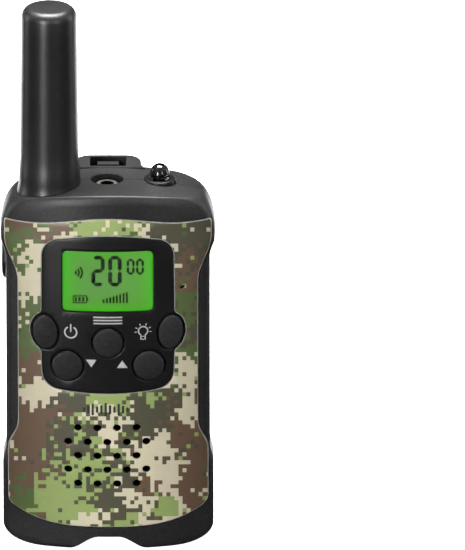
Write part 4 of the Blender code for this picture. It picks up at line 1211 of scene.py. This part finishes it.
def build_clip():
    """The sprung arm with rounded edges, its tongue in the boss's channel, and the latch."""
    rings = []
    count, half_thick, edge = 40, 1.0, 0.7
    for i in range(count + 1):
        t = i / count
        z = mix(20.0, 70.8, t)
        bow = sin(pi * min(t * 1.12, 1.0)) ** 0.7 if t < 0.892 else 0.0
        y = 12.2 + 4.95 * bow + 1.6 * (1.0 - smoothstep(t, 0.0, 0.12)) + 0.8 * t
        end = sqrt(max(0.0, 1.0 - (1.0 - min(t / 0.05, 1.0)) ** 2))
        wide = 8.0 - 2.6 * (1.0 - end) - edge
        ring = []
        for sx, sy, start in ((1, -1, 270), (1, 1, 0), (-1, 1, 90), (-1, -1, 180)):
            for k in range(5):
                angle = radians(start + 22.5 * k)
                deep = y + sy * (half_thick - edge) + edge * sin(angle)
                ring.append((sx * wide + edge * cos(angle), deep, z))
        rings.append(ring)
    clip = loft("belt_clip_arm", rings, (0.0, rings[0][0][1] + 1.0, 20.0), (0.0, 13.0, 70.8))
    join(clip, box("tongue", (-5.4, 5.4), (12.0, 14.0), (68.5, 93.2)))
    join(clip, box("latch", (-2.77, 2.77), (12.0, 14.2), (92.0, 97.5)))
    return finish_piece(clip, "belt_clip", ["casing"], ["belt_clip"], 32.0)


# ---------------------------------------------------------------- stage


def build_stage():
    """A plain pale floor, lit from within to read as white paper. The black plastics mirror only
    the part behind the handset."""
    n = Nodes("studio_paper")
    tone = n.noise(3.0, 2.0)
    paper = n.ramp(tone, (0.3, (0.90, 0.90, 0.90)), (0.7, (0.92, 0.92, 0.92)))
    n.set(Base_Color=paper, Roughness=0.9, Emission_Color=(1.0, 1.0, 1.0, 1.0), Emission_Strength=1.0)
    reach, z = 30.0, CAD_LOW.z - 0.05 * MM
    turns = [radians(50 + 20 * k) for k in range(18)]
    around = [(reach * cos(a), reach * sin(a), z) for a in turns]
    for name, ends in (("floor_back", around[:5]), ("floor_front", around[4:] + around[:1])):
        mesh = bpy.data.meshes.new(name)
        mesh.from_pydata([(0, 0, z)] + ends, [], [(0, k, k + 1) for k in range(1, len(ends))])
        mesh.materials.append(n.material)
        floor = add_object(name, mesh)
        floor.visible_glossy = name == "floor_back"
        floor.visible_diffuse = False


def area_light(name, place, target, size, power):
    data = bpy.data.lights.new(name, "AREA")
    data.shape = "RECTANGLE"
    data.size, data.size_y = size
    data.energy = power
    light = add_object(name, data)
    light.location = place
    light.rotation_mode = "QUATERNION"
    light.rotation_quaternion = (Vector(target) - Vector(place)).to_track_quat("-Z", "Y")
    return light


# The camera in metres: how far off it is, how much height it sees, and where it aims from the origin
CAMERA_ELEVATION = 21.0
CAMERA_DISTANCE = 5.5
VIEW_HEIGHT = 0.143
AIM_RIGHT, AIM_UP = 0.0322, 0.0667
SENSOR = 36.0


def build_camera():
    """A long lens, a little above the handset and aimed beside it."""
    elevation = radians(CAMERA_ELEVATION)
    back = Vector((0.0, -cos(elevation), sin(elevation)))
    up = Vector((0.0, sin(elevation), cos(elevation)))
    target = OFFSET + Vector((AIM_RIGHT, 0.0, 0.0)) + up * AIM_UP
    camera = add_object("camera", bpy.data.cameras.new("camera"))
    camera.location = target + back * CAMERA_DISTANCE
    camera.rotation_mode = "QUATERNION"
    camera.rotation_quaternion = (-back).to_track_quat("-Z", "Y")
    camera.data.sensor_fit = "AUTO"
    camera.data.sensor_width = SENSOR
    camera.data.lens = SENSOR * CAMERA_DISTANCE / VIEW_HEIGHT
    camera.data.clip_start, camera.data.clip_end = 0.5, 60.0
    bpy.context.scene.camera = camera


def build_lights():
    """A white surround that only the camera sees, a soft light overhead, and four at the sides."""
    world = bpy.data.worlds.new("studio")
    world.use_nodes = True
    background = world.node_tree.nodes["Background"]
    background.inputs["Color"].default_value = (1.0,) * 4
    background.inputs["Strength"].default_value = 1.0
    world.cycles_visibility.diffuse = False
    world.cycles_visibility.glossy = False
    world.cycles_visibility.transmission = False
    bpy.context.scene.world = world
    middle = (0.0, 0.0, 0.07)
    area_light("overhead", (0.0, 0.15, 1.0), middle, (0.7, 0.5), 42.0)
    area_light("front_left", (-0.5, -1.15, 0.25), middle, (0.25, 0.8), 21.0)
    area_light("front_right", (0.6, -1.0, 0.35), middle, (0.3, 0.6), 4.0)
    area_light("rim_left", (-1.0, 0.25, 0.2), middle, (0.3, 0.8), 3.0)
    area_light("rim_right", (1.0, 0.25, 0.2), middle, (0.3, 0.8), 3.0)


# ---------------------------------------------------------------- everything

build_camera()
build_stage()
build_lights()

build_front_shell()
build_rear_shell()
build_door()
build_faceplate()
build_panel()
build_lens()
for key_name in KEYS:
    build_key(key_name)
build_talk_key()
build_prints()
build_display()
build_aerial()
build_jack()
build_lamp()
build_clip()

paint("white", "lcd_backlight", "antenna_core")
paint("copper", "antenna_coil")
paint("board", "main_board")
paint("steel", "rf_shield", "microphone", "speaker_frame", "speaker_magnet")
paint("steel", "screw_lower_left", "screw_lower_right", "screw_upper_left", "screw_upper_right")
paint("panel", "jack_socket", "ptt_switch")
paint("rubber", "keypad_mat")
paint("cloth", "speaker_cloth")
paint("paper", "speaker_cone")
for number in (1, 2, 3):
    paint("wrap", f"battery_{number}")
    paint("nickel", f"contact_spring_{number}", f"contact_plate_{number}")

bpy.data.objects.remove(CASING)
bpy.context.scene.view_settings.view_transform = "Standard"
